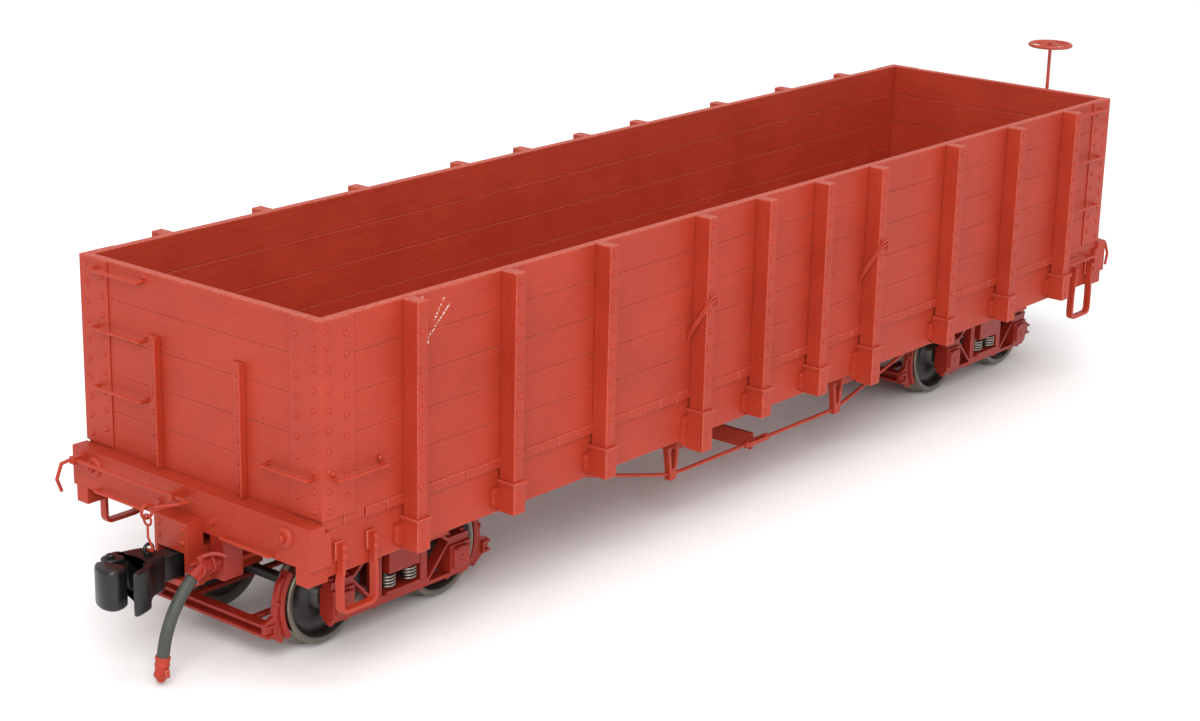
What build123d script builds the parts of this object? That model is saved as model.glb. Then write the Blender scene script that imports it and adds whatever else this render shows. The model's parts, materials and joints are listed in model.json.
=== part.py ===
"""High side gondola: a 1:20.3 scale model of a narrow-gauge wooden car on two arch-bar trucks.

Millimetres, +Z up, X along the car, Y across it. The origin is under the middle of the car at the
underside of the wheel flanges. End a is at -X; end b, at +X, carries the brake wheel and is end a
turned half round. Every height named h_... is above the rail top, which is one flange height up.
"""
from build123d import *
import os
from math import cos, pi, radians, sin, tan

os.makedirs("parts", exist_ok=True)

# ---------------------------------------------------------------- driving dimensions
# wheels and rail
flange_height = 1.4
tread_radius = 16.25
back_to_back = 41.8            # between the wheels' inner faces, for 45 mm gauge
flange_width = 1.5
tread_width = 4.6
rim_thickness = 2.6
axle_radius = 1.9
journal_radius = 1.45
rail_top = flange_height

# box
inside_length = 461.7
inside_width = 103.85
inside_height = 62.6
board_thickness = 2.75
board_count = 5
floor_rebate = 0.3              # the walls stand this far down beside the floor
groove = 0.45
h_deck_top = 56.2
deck_thickness = 3.3
corner_plate_thickness = 0.5
corner_plate_side_leg = 14.0
corner_plate_end_leg = 13.5

# side stakes and their pockets, on one half of a side
middle_stakes = (17.8, 53.0)    # from the middle of the car
stakes_from_end = (127.3, 81.1, 36.6)  # from the outside of the end boards
stake_width = 4.5
stake_depth = 6.4
stake_below_top = 0.1           # the stakes end all but flush with the boards
pocket_wall = 0.5
h_pocket_bottom = 38.0
h_pocket_top = 49.0
h_deep_pocket_bottom = 33.9
pocket_collar_height = 1.2
pocket_ear = 3.9

# end stakes: rolled angles with one flange on the boards
end_stake_offset = 19.5
end_stake_flange = 5.0
end_stake_web = 2.7
end_stake_thickness = 0.9
end_stake_below_top = 20.0

# underframe
h_sill_bottom = 37.4
side_sill_inset = 0.575        # behind the outside of the boards
side_sill_width = 8.0
inner_sill_centers = (9.5, 27.5)
inner_sill_width = 6.0
end_sill_thickness = 8.4
h_end_sill_bottom = 42.0
h_end_sill_top = 55.4
end_sill_overhang = 1.125      # past the outside of the boards
sill_end_gap = 0.35            # from the inside of the end boards to the sills' ends
sill_block_height = 5.7
sill_block_width = 5.5
sill_block_inset = 1.3
bolster_width = 12.0
bolster_height = 3.4
needle_beam_position = 51.5
needle_beam_width = 8.0
needle_beam_depth = 5.2
cross_beam_inset = 4.1         # short of the side sills' outer faces
side_bearing_offset = 22.0

# truss rods
outer_rod_inset = 1.4          # inside the side sills
truss_rod_radius = 0.7
h_truss_low = 20.4
h_truss_high = 50.4
truss_bend_from_truck = 11.9
rod_end_reach = 3.0
nut_radius = 1.45
nut_reach = 2.4
washer_thickness = 1.2
turnbuckle_length = 14.5
washer_radius = 3.4
inner_rod_cover = 1.0          # of the end sill over the inner rods' ends
spreader_height = 6.4
spreader_thickness = 1.6

# trucks
truck_from_end = 60.1           # from the end sill's face
wheelbase = 53.8
frame_offset = 32.8            # truck centre line to the middle of a side frame
arch_bar_width = 4.2
arch_bar_thickness = 1.4
box_half_width = 4.8
box_half_height = 4.9
box_depth = 6.3
column_position = 10.5
column_width = 3.2
h_top_bar = 29.8               # underside of the raised middle of the top arch bar
truck_bolster_width = 14.0
h_truck_bolster_bottom = 20.0
h_truck_bolster_top = 29.2
truck_half_width = 36.2        # over the bolster's ends
plate_radius = 6.0
plate_clearance = 0.1
king_pin_radius = 1.3
spring_radius = 3.0
spring_spacing = 9.6
spring_wire = 0.9
brake_beam_from_axle = 22.9
h_brake_beam = 10.7
shoe_gap = 0.7
shoe_thickness = 2.0
hanger_offset = 14.0

# couplers
h_coupler = 31.6
coupler_pivot_depth = 17.6      # behind the end sill's face
shank_width = 6.2
shank_height = 8.7
head_standoff = 18.9            # from the end sill's face to the back of the head
knuckle_pin_reach = 7.5         # forward of the back of the head
knuckle_pin_offset = 5.4
knuckle_height = 13.4
head_height = 12.2
striker_thickness = 6.9
swing_limit = 6.0               # of the coupler, each way, in degrees
lock_eye_setback = 2.3          # behind the back of the head
lock_eye_offset = -1.0
eye_outer = 2.2
eye_hole = 1.4
h_lift_lever = 52.8
lift_lever_standoff = 4.4
wire_radius = 0.6
chain_wire = 0.38
running_clearance = 0.1
moving_clearance = 0.6

# train air line
pipe_offset = 13.2
pipe_radius = 1.1
cock_radius = 1.6
hose_radius = 2.0
hose_in_ferrule = 3.0
hose_route = (
    (-248.2, -13.2, 33.6),
    (-253.1, -13.5, 29.8),
    (-257.0, -13.6, 25.0),
    (-259.7, -13.3, 19.4),
    (-261.2, -12.8, 13.4),
    (-261.6, -12.2, 7.2),
)

# hand brake
brake_wheel_radius = 9.6
brake_wheel_above_box = 16.7
brake_staff_standoff = 6.8      # from the end sill's face
brake_staff_offset = -17.4
brake_staff_radius = 0.75

# ---------------------------------------------------------------- worked out from them
axle_z = rail_top + tread_radius
flange_radius = tread_radius + flange_height
wheel_back = back_to_back / 2
wheel_front = wheel_back + flange_width + tread_width
deck_top = rail_top + h_deck_top
deck_bottom = deck_top - deck_thickness
box_top = deck_top + inside_height
inner_half_length = inside_length / 2
outer_half_length = inner_half_length + board_thickness
inner_half_width = inside_width / 2
outer_half_width = inner_half_width + board_thickness
board_height = inside_height / board_count
sill_bottom = rail_top + h_sill_bottom
sill_half_length = inner_half_length + sill_end_gap
end_sill_front = sill_half_length + end_sill_thickness
end_sill_half_width = outer_half_width + end_sill_overhang
side_sill_outer = outer_half_width - side_sill_inset
side_sill_inner = side_sill_outer - side_sill_width
underframe_half_width = side_sill_outer - cross_beam_inset
wall_base = deck_top - floor_rebate
stake_positions = middle_stakes + tuple(outer_half_length - reach for reach in stakes_from_end)
truck_position = end_sill_front - truck_from_end
truss_rod_offsets = (side_sill_inner - outer_rod_inset, sum(inner_sill_centers) / 2)
truss_bend_position = truck_position - truss_bend_from_truck
end_sill_bottom = rail_top + h_end_sill_bottom
end_sill_top = rail_top + h_end_sill_top
body_bolster_bottom = sill_bottom - bolster_height
truck_bolster_top = rail_top + h_truck_bolster_top
plate_top = body_bolster_bottom - plate_clearance - 1.4
coupler_z = rail_top + h_coupler
coupler_pivot = end_sill_front - coupler_pivot_depth
striker_front = end_sill_front + striker_thickness
head_back = end_sill_front + head_standoff
knuckle_pin = (head_back + knuckle_pin_reach, knuckle_pin_offset)
lock_eye = (head_back - lock_eye_setback, lock_eye_offset)
lift_lever_x = end_sill_front + lift_lever_standoff
axle_offset = wheelbase / 2
brake_beam_position = axle_offset + brake_beam_from_axle
box_top_z = axle_z + box_half_height
box_bottom_z = axle_z - box_half_height
box_back = frame_offset - 3.3
box_front = box_back + box_depth


# ---------------------------------------------------------------- shapes
def block(x0, x1, y0, y1, z0, z1):
    """A box between two corners."""
    return Pos((x0 + x1) / 2, (y0 + y1) / 2, (z0 + z1) / 2) * Box(x1 - x0, y1 - y0, z1 - z0)


def rod(start, end, radius):
    """A round bar from one point to another."""
    line = Vector(*end) - Vector(*start)
    plane = Plane(origin=start, z_dir=line.normalized())
    return plane * Cylinder(radius, line.length, align=(Align.CENTER, Align.CENTER, Align.MIN))


def wire(points, radius):
    """Round wire bent at each point, with a ball in each bend."""
    shape = rod(points[0], points[1], radius)
    for start, end in zip(points[1:], points[2:]):
        shape = shape + Pos(*start) * Sphere(radius) + rod(start, end, radius)
    return shape


def disc_y(x, z, y0, y1, radius):
    """A disc about an axis along Y."""
    return rod((x, y0, z), (x, y1, z), radius)


def prism_x(outline, x0, x1):
    """An outline of (y, z) points carried along X."""
    face = make_face(Plane.YZ * Polyline(*outline, close=True))
    return Pos(x0, 0, 0) * extrude(face, x1 - x0, dir=(1, 0, 0))


def prism_y(outline, y0, y1):
    """An outline of (x, z) points carried along Y."""
    face = make_face(Plane.XZ * Polyline(*outline, close=True))
    return Pos(0, y0, 0) * extrude(face, y1 - y0, dir=(0, 1, 0))


def prism_z(outline, z0, z1):
    """An outline of (x, y) points carried along Z."""
    face = make_face(Polyline(*outline, close=True))
    return Pos(0, 0, z0) * extrude(face, z1 - z0, dir=(0, 0, 1))


def both_sides(shape):
    """The shape and its mirror image across the middle of the car."""
    return [shape, shape.mirror(Plane.XZ)]


def both_ends(shapes):
    """End a's shapes, and the same turned half round for end b."""
    return list(shapes) + [Rot(0, 0, 180) * shape for shape in shapes]


def save(name, shapes):
    """Write one node from a shape or a list of shapes that do not touch."""
    shapes = list(shapes) if isinstance(shapes, (list, tuple)) else [shapes]
    solids = [solid for shape in shapes for solid in shape.solids()]
    export_step(Compound(label=name, children=solids), f"parts/{name}.step")


# ---------------------------------------------------------------- box
def board_wall(inner, outer):
    """Outline of a wall of boards, with a V groove at each joint on both faces."""
    joints = [deck_top + board_height * i for i in range(1, board_count)]
    points = [(inner, wall_base)]
    for z in joints:
        points += [(inner, z - groove), (inner + groove, z), (inner, z + groove)]
    points += [(inner, box_top), (outer, box_top)]
    for z in reversed(joints):
        points += [(outer, z + groove), (outer - groove, z), (outer, z - groove)]
    return points + [(outer, wall_base)]


side_boards = prism_x(board_wall(inner_half_width, outer_half_width), -outer_half_length, outer_half_length)
end_boards = prism_y(board_wall(inner_half_length, outer_half_length), -inner_half_width, inner_half_width)
floor_deck = block(-outer_half_length, outer_half_length, -outer_half_width, outer_half_width,
                   deck_bottom, wall_base)
floor_deck += block(-inner_half_length, inner_half_length, -inner_half_width, inner_half_width,
                    wall_base, deck_top)
save("floor_deck", floor_deck)
save("side_boards_left", side_boards)
save("side_boards_right", side_boards.mirror(Plane.XZ))
save("end_boards", both_ends([end_boards]))


def corner_plate():
    """Folded plate outside one corner of the box."""
    x1 = outer_half_length + corner_plate_thickness
    y1 = outer_half_width + corner_plate_thickness
    outline = [(x1, y1), (x1 - corner_plate_side_leg, y1), (x1 - corner_plate_side_leg, outer_half_width),
               (outer_half_length, outer_half_width), (outer_half_length, y1 - corner_plate_end_leg),
               (x1, y1 - corner_plate_end_leg)]
    return prism_z(outline, deck_top, box_top)


save("corner_plates", both_ends(both_sides(corner_plate())))


# ---------------------------------------------------------------- side stakes
def stake_pocket(x, bottom):
    """Cast pocket: a ring round the stake's foot, a collar at its mouth and an ear each side."""
    half = stake_width / 2 + running_clearance
    back = side_sill_outer
    front = outer_half_width + stake_depth + running_clearance + pocket_wall
    top = rail_top + h_pocket_top
    shape = block(x - half - pocket_wall, x + half + pocket_wall, back, front, bottom, top)
    shape += block(x - half - 2 * pocket_wall, x + half + 2 * pocket_wall, back, front + pocket_wall,
                   top - pocket_collar_height, top)
    shape += block(x - half - pocket_ear, x + half + pocket_ear, back, back + 1.1,
                   bottom + 1.5, top - 2 * pocket_collar_height)
    hole = block(x - half, x + half, outer_half_width - running_clearance / 2,
                 front - pocket_wall, bottom + pocket_wall, top + 1)
    return shape - hole


positions = [sign * x for x in stake_positions for sign in (-1, 1)]
pockets = []
stakes = []
for x in positions:
    deep = abs(x) == middle_stakes[1]
    bottom = rail_top + (h_deep_pocket_bottom if deep else h_pocket_bottom)
    pockets += both_sides(stake_pocket(x, bottom))
    stakes += both_sides(block(x - stake_width / 2, x + stake_width / 2, outer_half_width,
                               outer_half_width + stake_depth, bottom + pocket_wall, box_top - stake_below_top))
save("stake_pockets", pockets)
save("side_stakes", stakes)


# ---------------------------------------------------------------- end stakes
def end_stake(y):
    """Angle iron on end a's boards: the flange lies on them, the web stands out at its -Y edge."""
    face = -outer_half_length
    half = end_stake_flange / 2
    outline = [(face, y - half), (face, y + half), (face - end_stake_thickness, y + half),
               (face - end_stake_thickness, y - half + end_stake_thickness),
               (face - end_stake_web, y - half + end_stake_thickness), (face - end_stake_web, y - half)]
    return prism_z(outline, end_sill_top, box_top - end_stake_below_top)


save("end_stakes", both_ends([end_stake(end_stake_offset), end_stake(-end_stake_offset)]))

# ---------------------------------------------------------------- underframe
rod_reach = end_sill_front + rod_end_reach
rod_bore = truss_rod_radius + 0.05
rod_holes = [rod((-reach, y, rail_top + h_truss_high), (reach, y, rail_top + h_truss_high), rod_bore)
             for offset, reach in zip(truss_rod_offsets, (rod_reach, end_sill_front - inner_rod_cover))
             for y in (-offset, offset)]


def cut_rods(shape):
    """Bore the upper runs of the truss rods out of a shape."""
    for hole in rod_holes:
        shape = shape - hole
    return shape


save("side_sills", both_sides(block(-sill_half_length, sill_half_length, side_sill_inner, side_sill_outer,
                                    sill_bottom, deck_bottom)))
save("center_sills", [solid for y in inner_sill_centers
                      for solid in both_sides(block(-sill_half_length, sill_half_length,
                                                    y - inner_sill_width / 2, y + inner_sill_width / 2,
                                                    sill_bottom, deck_bottom))])
end_sill = prism_y([(-sill_half_length, end_sill_bottom), (-sill_half_length, deck_bottom),
                    (-outer_half_length, deck_bottom), (-outer_half_length, end_sill_top),
                    (-end_sill_front, end_sill_top), (-end_sill_front, end_sill_bottom)],
                   -end_sill_half_width, end_sill_half_width)
save("end_sills", both_ends([cut_rods(end_sill)]))
sill_block = block(-end_sill_front, -sill_half_length, end_sill_half_width - sill_block_width - sill_block_inset,
                   end_sill_half_width - sill_block_inset, end_sill_bottom - sill_block_height, end_sill_bottom)
save("sill_blocks", both_ends(both_sides(sill_block)))

body_bolster = block(-truck_position - bolster_width / 2, -truck_position + bolster_width / 2,
                     -underframe_half_width, underframe_half_width, body_bolster_bottom, sill_bottom)
body_bolster += rod((-truck_position, 0, body_bolster_bottom), (-truck_position, 0, body_bolster_bottom - 1.4),
                    plate_radius)
body_bolster += rod((-truck_position, 0, body_bolster_bottom), (-truck_position, 0, truck_bolster_top - 6.0),
                    king_pin_radius)
for y in (-side_bearing_offset, side_bearing_offset):
    body_bolster += block(-truck_position - 3, -truck_position + 3, y - 2.5, y + 2.5,
                          body_bolster_bottom - 1.6, body_bolster_bottom)
save("body_bolsters", both_ends([body_bolster]))

needle_beam = block(-needle_beam_position - needle_beam_width / 2, -needle_beam_position + needle_beam_width / 2,
                    -underframe_half_width, underframe_half_width, sill_bottom - needle_beam_depth, sill_bottom)
pipe_z = hose_route[0][2]
needle_beam -= rod((-truss_bend_position, -pipe_offset, pipe_z), (0, -pipe_offset, pipe_z),
                   pipe_radius + running_clearance)
save("needle_beams", both_ends([needle_beam]))


# ---------------------------------------------------------------- queen posts and truss rods
def queen_post(y):
    """Cast strut: two legs that meet in a saddle bored for the rod."""
    top = sill_bottom - needle_beam_depth
    low = rail_top + h_truss_low
    x = -needle_beam_position
    outer = [(x - 3.6, top), (x + 3.6, top), (x + 1.9, low + 1.4), (x + 1.9, low - 1.5),
             (x - 1.9, low - 1.5), (x - 1.9, low + 1.4)]
    gap = [(x - 2.2, top + 1), (x + 2.2, top + 1), (x + 0.7, low + 2.6), (x - 0.7, low + 2.6)]
    foot = block(x - 3.9, x + 3.9, y - 1.8, y + 1.8, top - 1.1, top)
    strut = prism_y(outer, y - 1.2, y + 1.2) - prism_y(gap, y - 2, y + 2) + foot
    return strut


def truss_rod_straights(y, anchored_outside):
    """The level runs of one rod: out into each end sill, and the low one with the turnbuckle between
    the queen posts. An outer rod passes the sill to a washer and nut; an inner one ends within it."""
    high = rail_top + h_truss_high
    low = rail_top + h_truss_low
    half = turnbuckle_length / 2
    middle = rod((-needle_beam_position, y, low), (needle_beam_position, y, low), truss_rod_radius)
    shapes = [middle + block(-half, half, y - 1.7, y + 1.7, low - 1.25, low + 1.25)]
    for sign in (-1, 1):
        face = sign * end_sill_front
        end = sign * (rod_reach if anchored_outside else end_sill_front - inner_rod_cover)
        run = rod((sign * truss_bend_position, y, high), (end, y, high), truss_rod_radius)
        if anchored_outside:
            run += rod((face, y, high), (face + sign * washer_thickness, y, high), washer_radius)
            run += rod((face, y, high), (face + sign * nut_reach, y, high), nut_radius)
        shapes.append(run)
    return shapes


def truss_rod_slopes(y):
    """The slanting runs of one rod, cut square to the car where they meet the level ones."""
    top = Vector(truss_bend_position, y, rail_top + h_truss_high)
    foot = Vector(needle_beam_position, y, rail_top + h_truss_low)
    spare = (top - foot).normalized() * 2
    run = rod(tuple(foot - spare), tuple(top + spare), truss_rod_radius)
    run = run & block(foot.X, top.X, y - 2, y + 2, 0, box_top)
    return [run, run.mirror(Plane.YZ)]


rods = []
slopes = []
posts = []
for offset, anchored_outside in zip(truss_rod_offsets, (True, False)):
    for y in (-offset, offset):
        rods += truss_rod_straights(y, anchored_outside)
        slopes += truss_rod_slopes(y)
        bore = wire([(-truss_bend_position, y, rail_top + h_truss_high),
                     (-needle_beam_position, y, rail_top + h_truss_low),
                     (needle_beam_position, y, rail_top + h_truss_low)], rod_bore)
        posts.append(queen_post(y) - bore)
save("truss_rods", rods)
save("truss_rod_slopes", slopes)
save("queen_posts", both_ends(posts))

spreader_low = rail_top + h_truss_low - spreader_height / 2 - 0.6
spreader = block(-spreader_thickness / 2, spreader_thickness / 2, -truss_rod_offsets[0] + 1.8,
                 truss_rod_offsets[0] - 1.8, spreader_low, spreader_low + spreader_height)
for y in (-truss_rod_offsets[1], truss_rod_offsets[1]):
    spreader -= block(-2, 2, y - 1.75, y + 1.75, rail_top + h_truss_low - 1.3, rail_top + h_truss_low + 1.3)
save("turnbuckle_board", spreader)

# ---------------------------------------------------------------- strikers and draft pockets
pocket_inner = shank_width / 2 + tan(radians(swing_limit)) * (striker_front - coupler_pivot) + moving_clearance
pocket_outer = pocket_inner + 1.4
shank_low = coupler_z - shank_height / 2
shank_high = coupler_z + shank_height / 2
draft = block(-end_sill_front, -coupler_pivot + 7, -pocket_outer, pocket_outer, shank_low - 2.0, sill_bottom)
striker = block(-striker_front, -end_sill_front, -pocket_outer, pocket_outer, shank_low - 2.6, rail_top + 46.6)
draft = draft + striker
draft -= block(-striker_front - 1, -coupler_pivot + 5.5, -pocket_inner, pocket_inner,
               shank_low - 0.4, shank_high + 0.4)
draft += rod((-coupler_pivot, 0, shank_low - 2.0), (-coupler_pivot, 0, sill_bottom), 1.5)
save("draft_pockets", both_ends([draft]))


# ---------------------------------------------------------------- couplers
def mirror_points(points):
    """Plan points given with X counted outwards from the back of the head, turned to end a."""
    return [(-head_back - x, y) for x, y in points]


pin_x, pin_y = knuckle_pin
head_outline = mirror_points([
    (-6.0, -4.0), (0.0, -6.4), (5.5, -10.6), (11.1, -11.4), (10.9, -9.6), (5.5, -7.2), (3.1, -3.4),
    (3.1, 2.0), (4.9, 3.2), (4.9, 7.6), (0.0, 7.4), (-6.0, 4.0)])
head = prism_z(head_outline, coupler_z - head_height / 2, coupler_z + head_height / 2)
shank = block(-head_back, -coupler_pivot + 3.2, -shank_width / 2, shank_width / 2, shank_low, shank_high)
ears = mirror_points([(2.5, 2.6), (9.7, 2.6), (10.3, 6.2), (8.7, 8.2), (2.5, 8.2)])
ear_thickness = 1.9
ear_high = coupler_z + head_height / 2
ear_low = coupler_z - head_height / 2
coupler = head + shank
coupler += prism_z(ears, ear_high - ear_thickness, ear_high) + prism_z(ears, ear_low, ear_low + ear_thickness)
coupler += rod((-pin_x, pin_y, ear_low - 0.8), (-pin_x, pin_y, ear_high + 0.8), 0.9)
coupler -= rod((-coupler_pivot, 0, shank_low - 1), (-coupler_pivot, 0, shank_high + 1), 1.5 + running_clearance)
eye_x, eye_y = lock_eye
eye_z = ear_high + 1.6
lug = block(-eye_x - eye_outer, -eye_x + eye_outer, eye_y - 0.6, eye_y + 0.6, ear_high - 0.2, eye_z)
lug += disc_y(-eye_x, eye_z, eye_y - 0.6, eye_y + 0.6, eye_outer)
lug -= disc_y(-eye_x, eye_z, eye_y - 2, eye_y + 2, eye_hole)
coupler += lug
save("coupler_a", coupler)
save("coupler_b", Rot(0, 0, 180) * coupler)

knuckle_outline = mirror_points([
    (6.1, 3.6), (9.1, 3.4), (9.5, 0.6), (7.9, -3.6), (10.1, -5.8), (14.1, -6.2), (16.5, -4.4),
    (17.1, -1.0), (15.7, 3.2), (12.1, 7.0), (7.9, 8.0), (5.7, 6.6)])
knuckle = prism_z(knuckle_outline, ear_low + ear_thickness + running_clearance,
                  ear_high - ear_thickness - running_clearance)
nose_outline = mirror_points([
    (11.9, 3.6), (10.4, 0.6), (8.7, -3.4), (10.3, -5.4), (14.1, -6.2), (16.5, -4.4), (17.1, -1.0),
    (15.7, 3.2), (13.3, 5.4)])
knuckle += prism_z(nose_outline, coupler_z - knuckle_height / 2, coupler_z + knuckle_height / 2)
knuckle -= rod((-pin_x, pin_y, ear_low - 3), (-pin_x, pin_y, ear_high + 3), 0.9 + running_clearance)
save("knuckle_a", knuckle)
save("knuckle_b", Rot(0, 0, 180) * knuckle)


# ---------------------------------------------------------------- uncoupling gear
lever_z = rail_top + h_lift_lever
lever_eye_z = lever_z - 1.0
lever_eye = (-eye_x, eye_y, lever_eye_z)
ring_radius = 2.2
handle_y = end_sill_half_width - 3.2
lever = wire([(-lift_lever_x - 3.2, handle_y, lever_z - 10.6),
              (-lift_lever_x - 5.2, handle_y - 0.4, lever_z - 6.0),
              (-lift_lever_x - 3.6, handle_y - 1.0, lever_z - 0.9), (-lift_lever_x, handle_y - 2.0, lever_z),
              (-lift_lever_x, eye_y - 5.0, lever_z), (-lift_lever_x - 4.0, eye_y - 4.2, lever_z),
              (-eye_x + ring_radius, eye_y, lever_eye_z + 0.6)], wire_radius)
lever += Pos(-eye_x, eye_y, lever_eye_z) * Rot(90, 0, 0) * Torus(ring_radius, wire_radius * 0.9)
for y in (handle_y - 3.2, eye_y + 2.5):
    lever += block(-lift_lever_x - 1.2, -end_sill_front, y - 1.1, y + 1.1, lever_z - 1.2, lever_z + 1.2)
save("lift_levers", both_ends([lever]))

link_top = lever_eye_z - ring_radius + wire_radius * 0.9 + chain_wire + 0.15
link_radius = 1.7
hook_top = eye_z + eye_outer + 1.8
chain = Pos(-eye_x, eye_y, link_top - link_radius) * Rot(0, 90, 0) * Torus(link_radius, chain_wire)
chain += wire([(-eye_x, eye_y, link_top - 2 * link_radius), (-eye_x, eye_y, hook_top),
               (-eye_x, eye_y - 2.0, eye_z + 0.9), (-eye_x, eye_y - 1.8, eye_z - 0.2),
               (-eye_x, eye_y + 0.7, eye_z - 0.1)], chain_wire)
save("chain_a", chain)
save("chain_b", Rot(0, 0, 180) * chain)


# ---------------------------------------------------------------- grab irons and steps
def side_grab(x0, x1, z, seat, stand=3.2):
    """A bent rod along the +Y side of the box, standing off its seat."""
    bar = seat + stand
    return wire([(x0, seat, z), (x0, bar, z), (x1, bar, z), (x1, seat, z)], wire_radius)


def end_grab(y0, y1, z, seat, stand=3.2):
    """A bent rod across end a."""
    bar = -seat - stand
    return wire([(-seat, y0, z), (bar, y0, z), (bar, y1, z), (-seat, y1, z)], wire_radius)


plate_side = outer_half_width + corner_plate_thickness
ladder_x = (-outer_half_length + 7.6, -outer_half_length + 29.6)
ladder_y = (end_sill_half_width - 31.8, end_sill_half_width - 8.8)
grabs = []
for below_top in (3.5, 24.0, 44.9):
    grabs.append(side_grab(*ladder_x, box_top - below_top, outer_half_width))
grabs.append(side_grab(*ladder_x, deck_bottom - 2.1, side_sill_outer, 3.8))
corner_grab_z = deck_top + 12.8
grabs.append(side_grab(-outer_half_length + 4.1, -outer_half_length + 24.1, corner_grab_z,
                       plate_side).mirror(Plane.XZ))
for below_top in (3.4, 22.6, 42.4):
    grabs.append(end_grab(*ladder_y, box_top - below_top, outer_half_length))
grabs.append(end_grab(-end_sill_half_width + 4.6, -end_sill_half_width + 24.4, corner_grab_z, outer_half_length))
for y0, y1 in ((end_sill_half_width - 36.3, end_sill_half_width - 13.4),
               (-end_sill_half_width + 16.4, -end_sill_half_width + 37.8)):
    grabs.append(end_grab(y0, y1, end_sill_bottom + 1.2, end_sill_front, 2.0))
box_shell = block(-outer_half_length, outer_half_length, -outer_half_width, outer_half_width, deck_top, box_top)
for y in (-1, 1):
    corner = corner_plate()
    box_shell += Rot(0, 0, 180) * (corner if y < 0 else corner.mirror(Plane.XZ))
save("grab_irons", both_ends([grab - box_shell for grab in grabs]))


def stirrup_step():
    """Flat strap bent to a U below the side sill, with a bolted pad at the head of each leg."""
    left, right = -outer_half_length + 6.2, -outer_half_length + 20.8
    top, low, gauge_t = deck_bottom - 4.7, sill_bottom - 12.8, 1.2
    shape = block(left, right, side_sill_outer, side_sill_outer + 3.2, low, top)
    shape -= block(left + gauge_t, right - gauge_t, side_sill_outer - 1, side_sill_outer + 5, low + gauge_t, top + 1)
    for x in (left + gauge_t / 2, right - gauge_t / 2):
        shape += block(x - 1.7, x + 1.7, side_sill_outer, side_sill_outer + 0.9, sill_bottom + 5.1, top)
    return shape


save("stirrup_steps", both_ends(both_sides(stirrup_step())))

# ---------------------------------------------------------------- train air line
elbow = hose_route[0]
run = (Vector(*hose_route[1]) - Vector(*elbow)).normalized()
cock = rod((-outer_half_length + 2, -pipe_offset, pipe_z), elbow, cock_radius)
cock += Pos(*elbow) * Sphere(2.5)
cock -= rod(elbow, tuple(Vector(*elbow) + run * 8), hose_radius + 0.05)
cock += rod((elbow[0] + 1.6, elbow[1], elbow[2]), (elbow[0] + 1.6, elbow[1], elbow[2] + 3.8), 0.9)
cock += block(elbow[0] - 2.8, elbow[0] + 2.4, elbow[1] - 0.9, elbow[1] + 0.9, elbow[2] + 3.4, elbow[2] + 4.2)
cock += block(-end_sill_front + 0.4, -sill_half_length, -pipe_offset - 3.0, -pipe_offset + 3.0,
              pipe_z - 4.4, end_sill_bottom)
save("angle_cocks", both_ends([cock]))

branch_x = -6.0                 # where each half of the pipe turns in to the reservoir
cylinder_z = sill_bottom - 6.2
small_cylinder, large_cylinder = 4.6, 5.6
cylinder_ends = (-8.0, 10.0, 34.0)
reservoir = rod((cylinder_ends[0], 0, cylinder_z), (cylinder_ends[1], 0, cylinder_z), small_cylinder)
pipe = wire([(-sill_half_length, -pipe_offset, pipe_z), (branch_x, -pipe_offset, pipe_z),
             (branch_x, -small_cylinder, pipe_z)], pipe_radius)
save("train_pipe", both_ends([pipe - reservoir]))


def tube_radii(points):
    """Radius of each bend: 0.45 of the shorter run over the tangent of half the turn."""
    vectors = [Vector(*p) for p in points]
    radii = []
    for a, b, c in zip(vectors, vectors[1:], vectors[2:]):
        turn = radians((b - a).get_angle(c - b))
        radii.append(0.45 * min((b - a).length, (c - b).length) / tan(turn / 2))
    return radii


radii = tube_radii(hose_route)
path = FilletPolyline(*hose_route, radius=radii)
start_plane = Plane(origin=hose_route[0], z_dir=path % 0)
hose = sweep(start_plane * Circle(hose_radius), path=path)
print("hose bend radii", [round(r, 1) for r in radii], "length", round(path.length, 2),
      "volume / (section x length)", round(hose.volume / (pi * hose_radius ** 2 * path.length), 4))
save("air_hose_a", hose)
save("air_hose_b", Rot(0, 0, 180) * hose)

tip = Vector(*hose_route[-1])
down = (tip - Vector(*hose_route[-2])).normalized()
ferrule_top = tip - down * hose_in_ferrule
ferrule_bottom = tip + down * 1.0
claw = ferrule_bottom + down * 3.0
glad_hand = rod(tuple(ferrule_top), tuple(ferrule_bottom), hose_radius + 0.55)
glad_hand -= rod(tuple(ferrule_top - down), tuple(tip), hose_radius + 0.05)
glad_hand += rod(tuple(ferrule_bottom), tuple(claw), 1.5)
glad_hand += Pos(*claw) * Sphere(1.9)
save("glad_hand_a", glad_hand)
save("glad_hand_b", Rot(0, 0, 180) * glad_hand)

# brake cylinder and auxiliary reservoir, slung in the middle of the underframe
cylinder = reservoir + rod((cylinder_ends[1], 0, cylinder_z), (cylinder_ends[2], 0, cylinder_z), large_cylinder)
cylinder += rod((cylinder_ends[0] - 8.0, 0, cylinder_z), (cylinder_ends[0], 0, cylinder_z), 1.0)
for x in (0, cylinder_ends[2] - 4.0):
    cylinder += block(x - 1.5, x + 1.5, -12.0, 12.0, cylinder_z + 3.5, sill_bottom)
save("brake_cylinder", cylinder)

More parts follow.
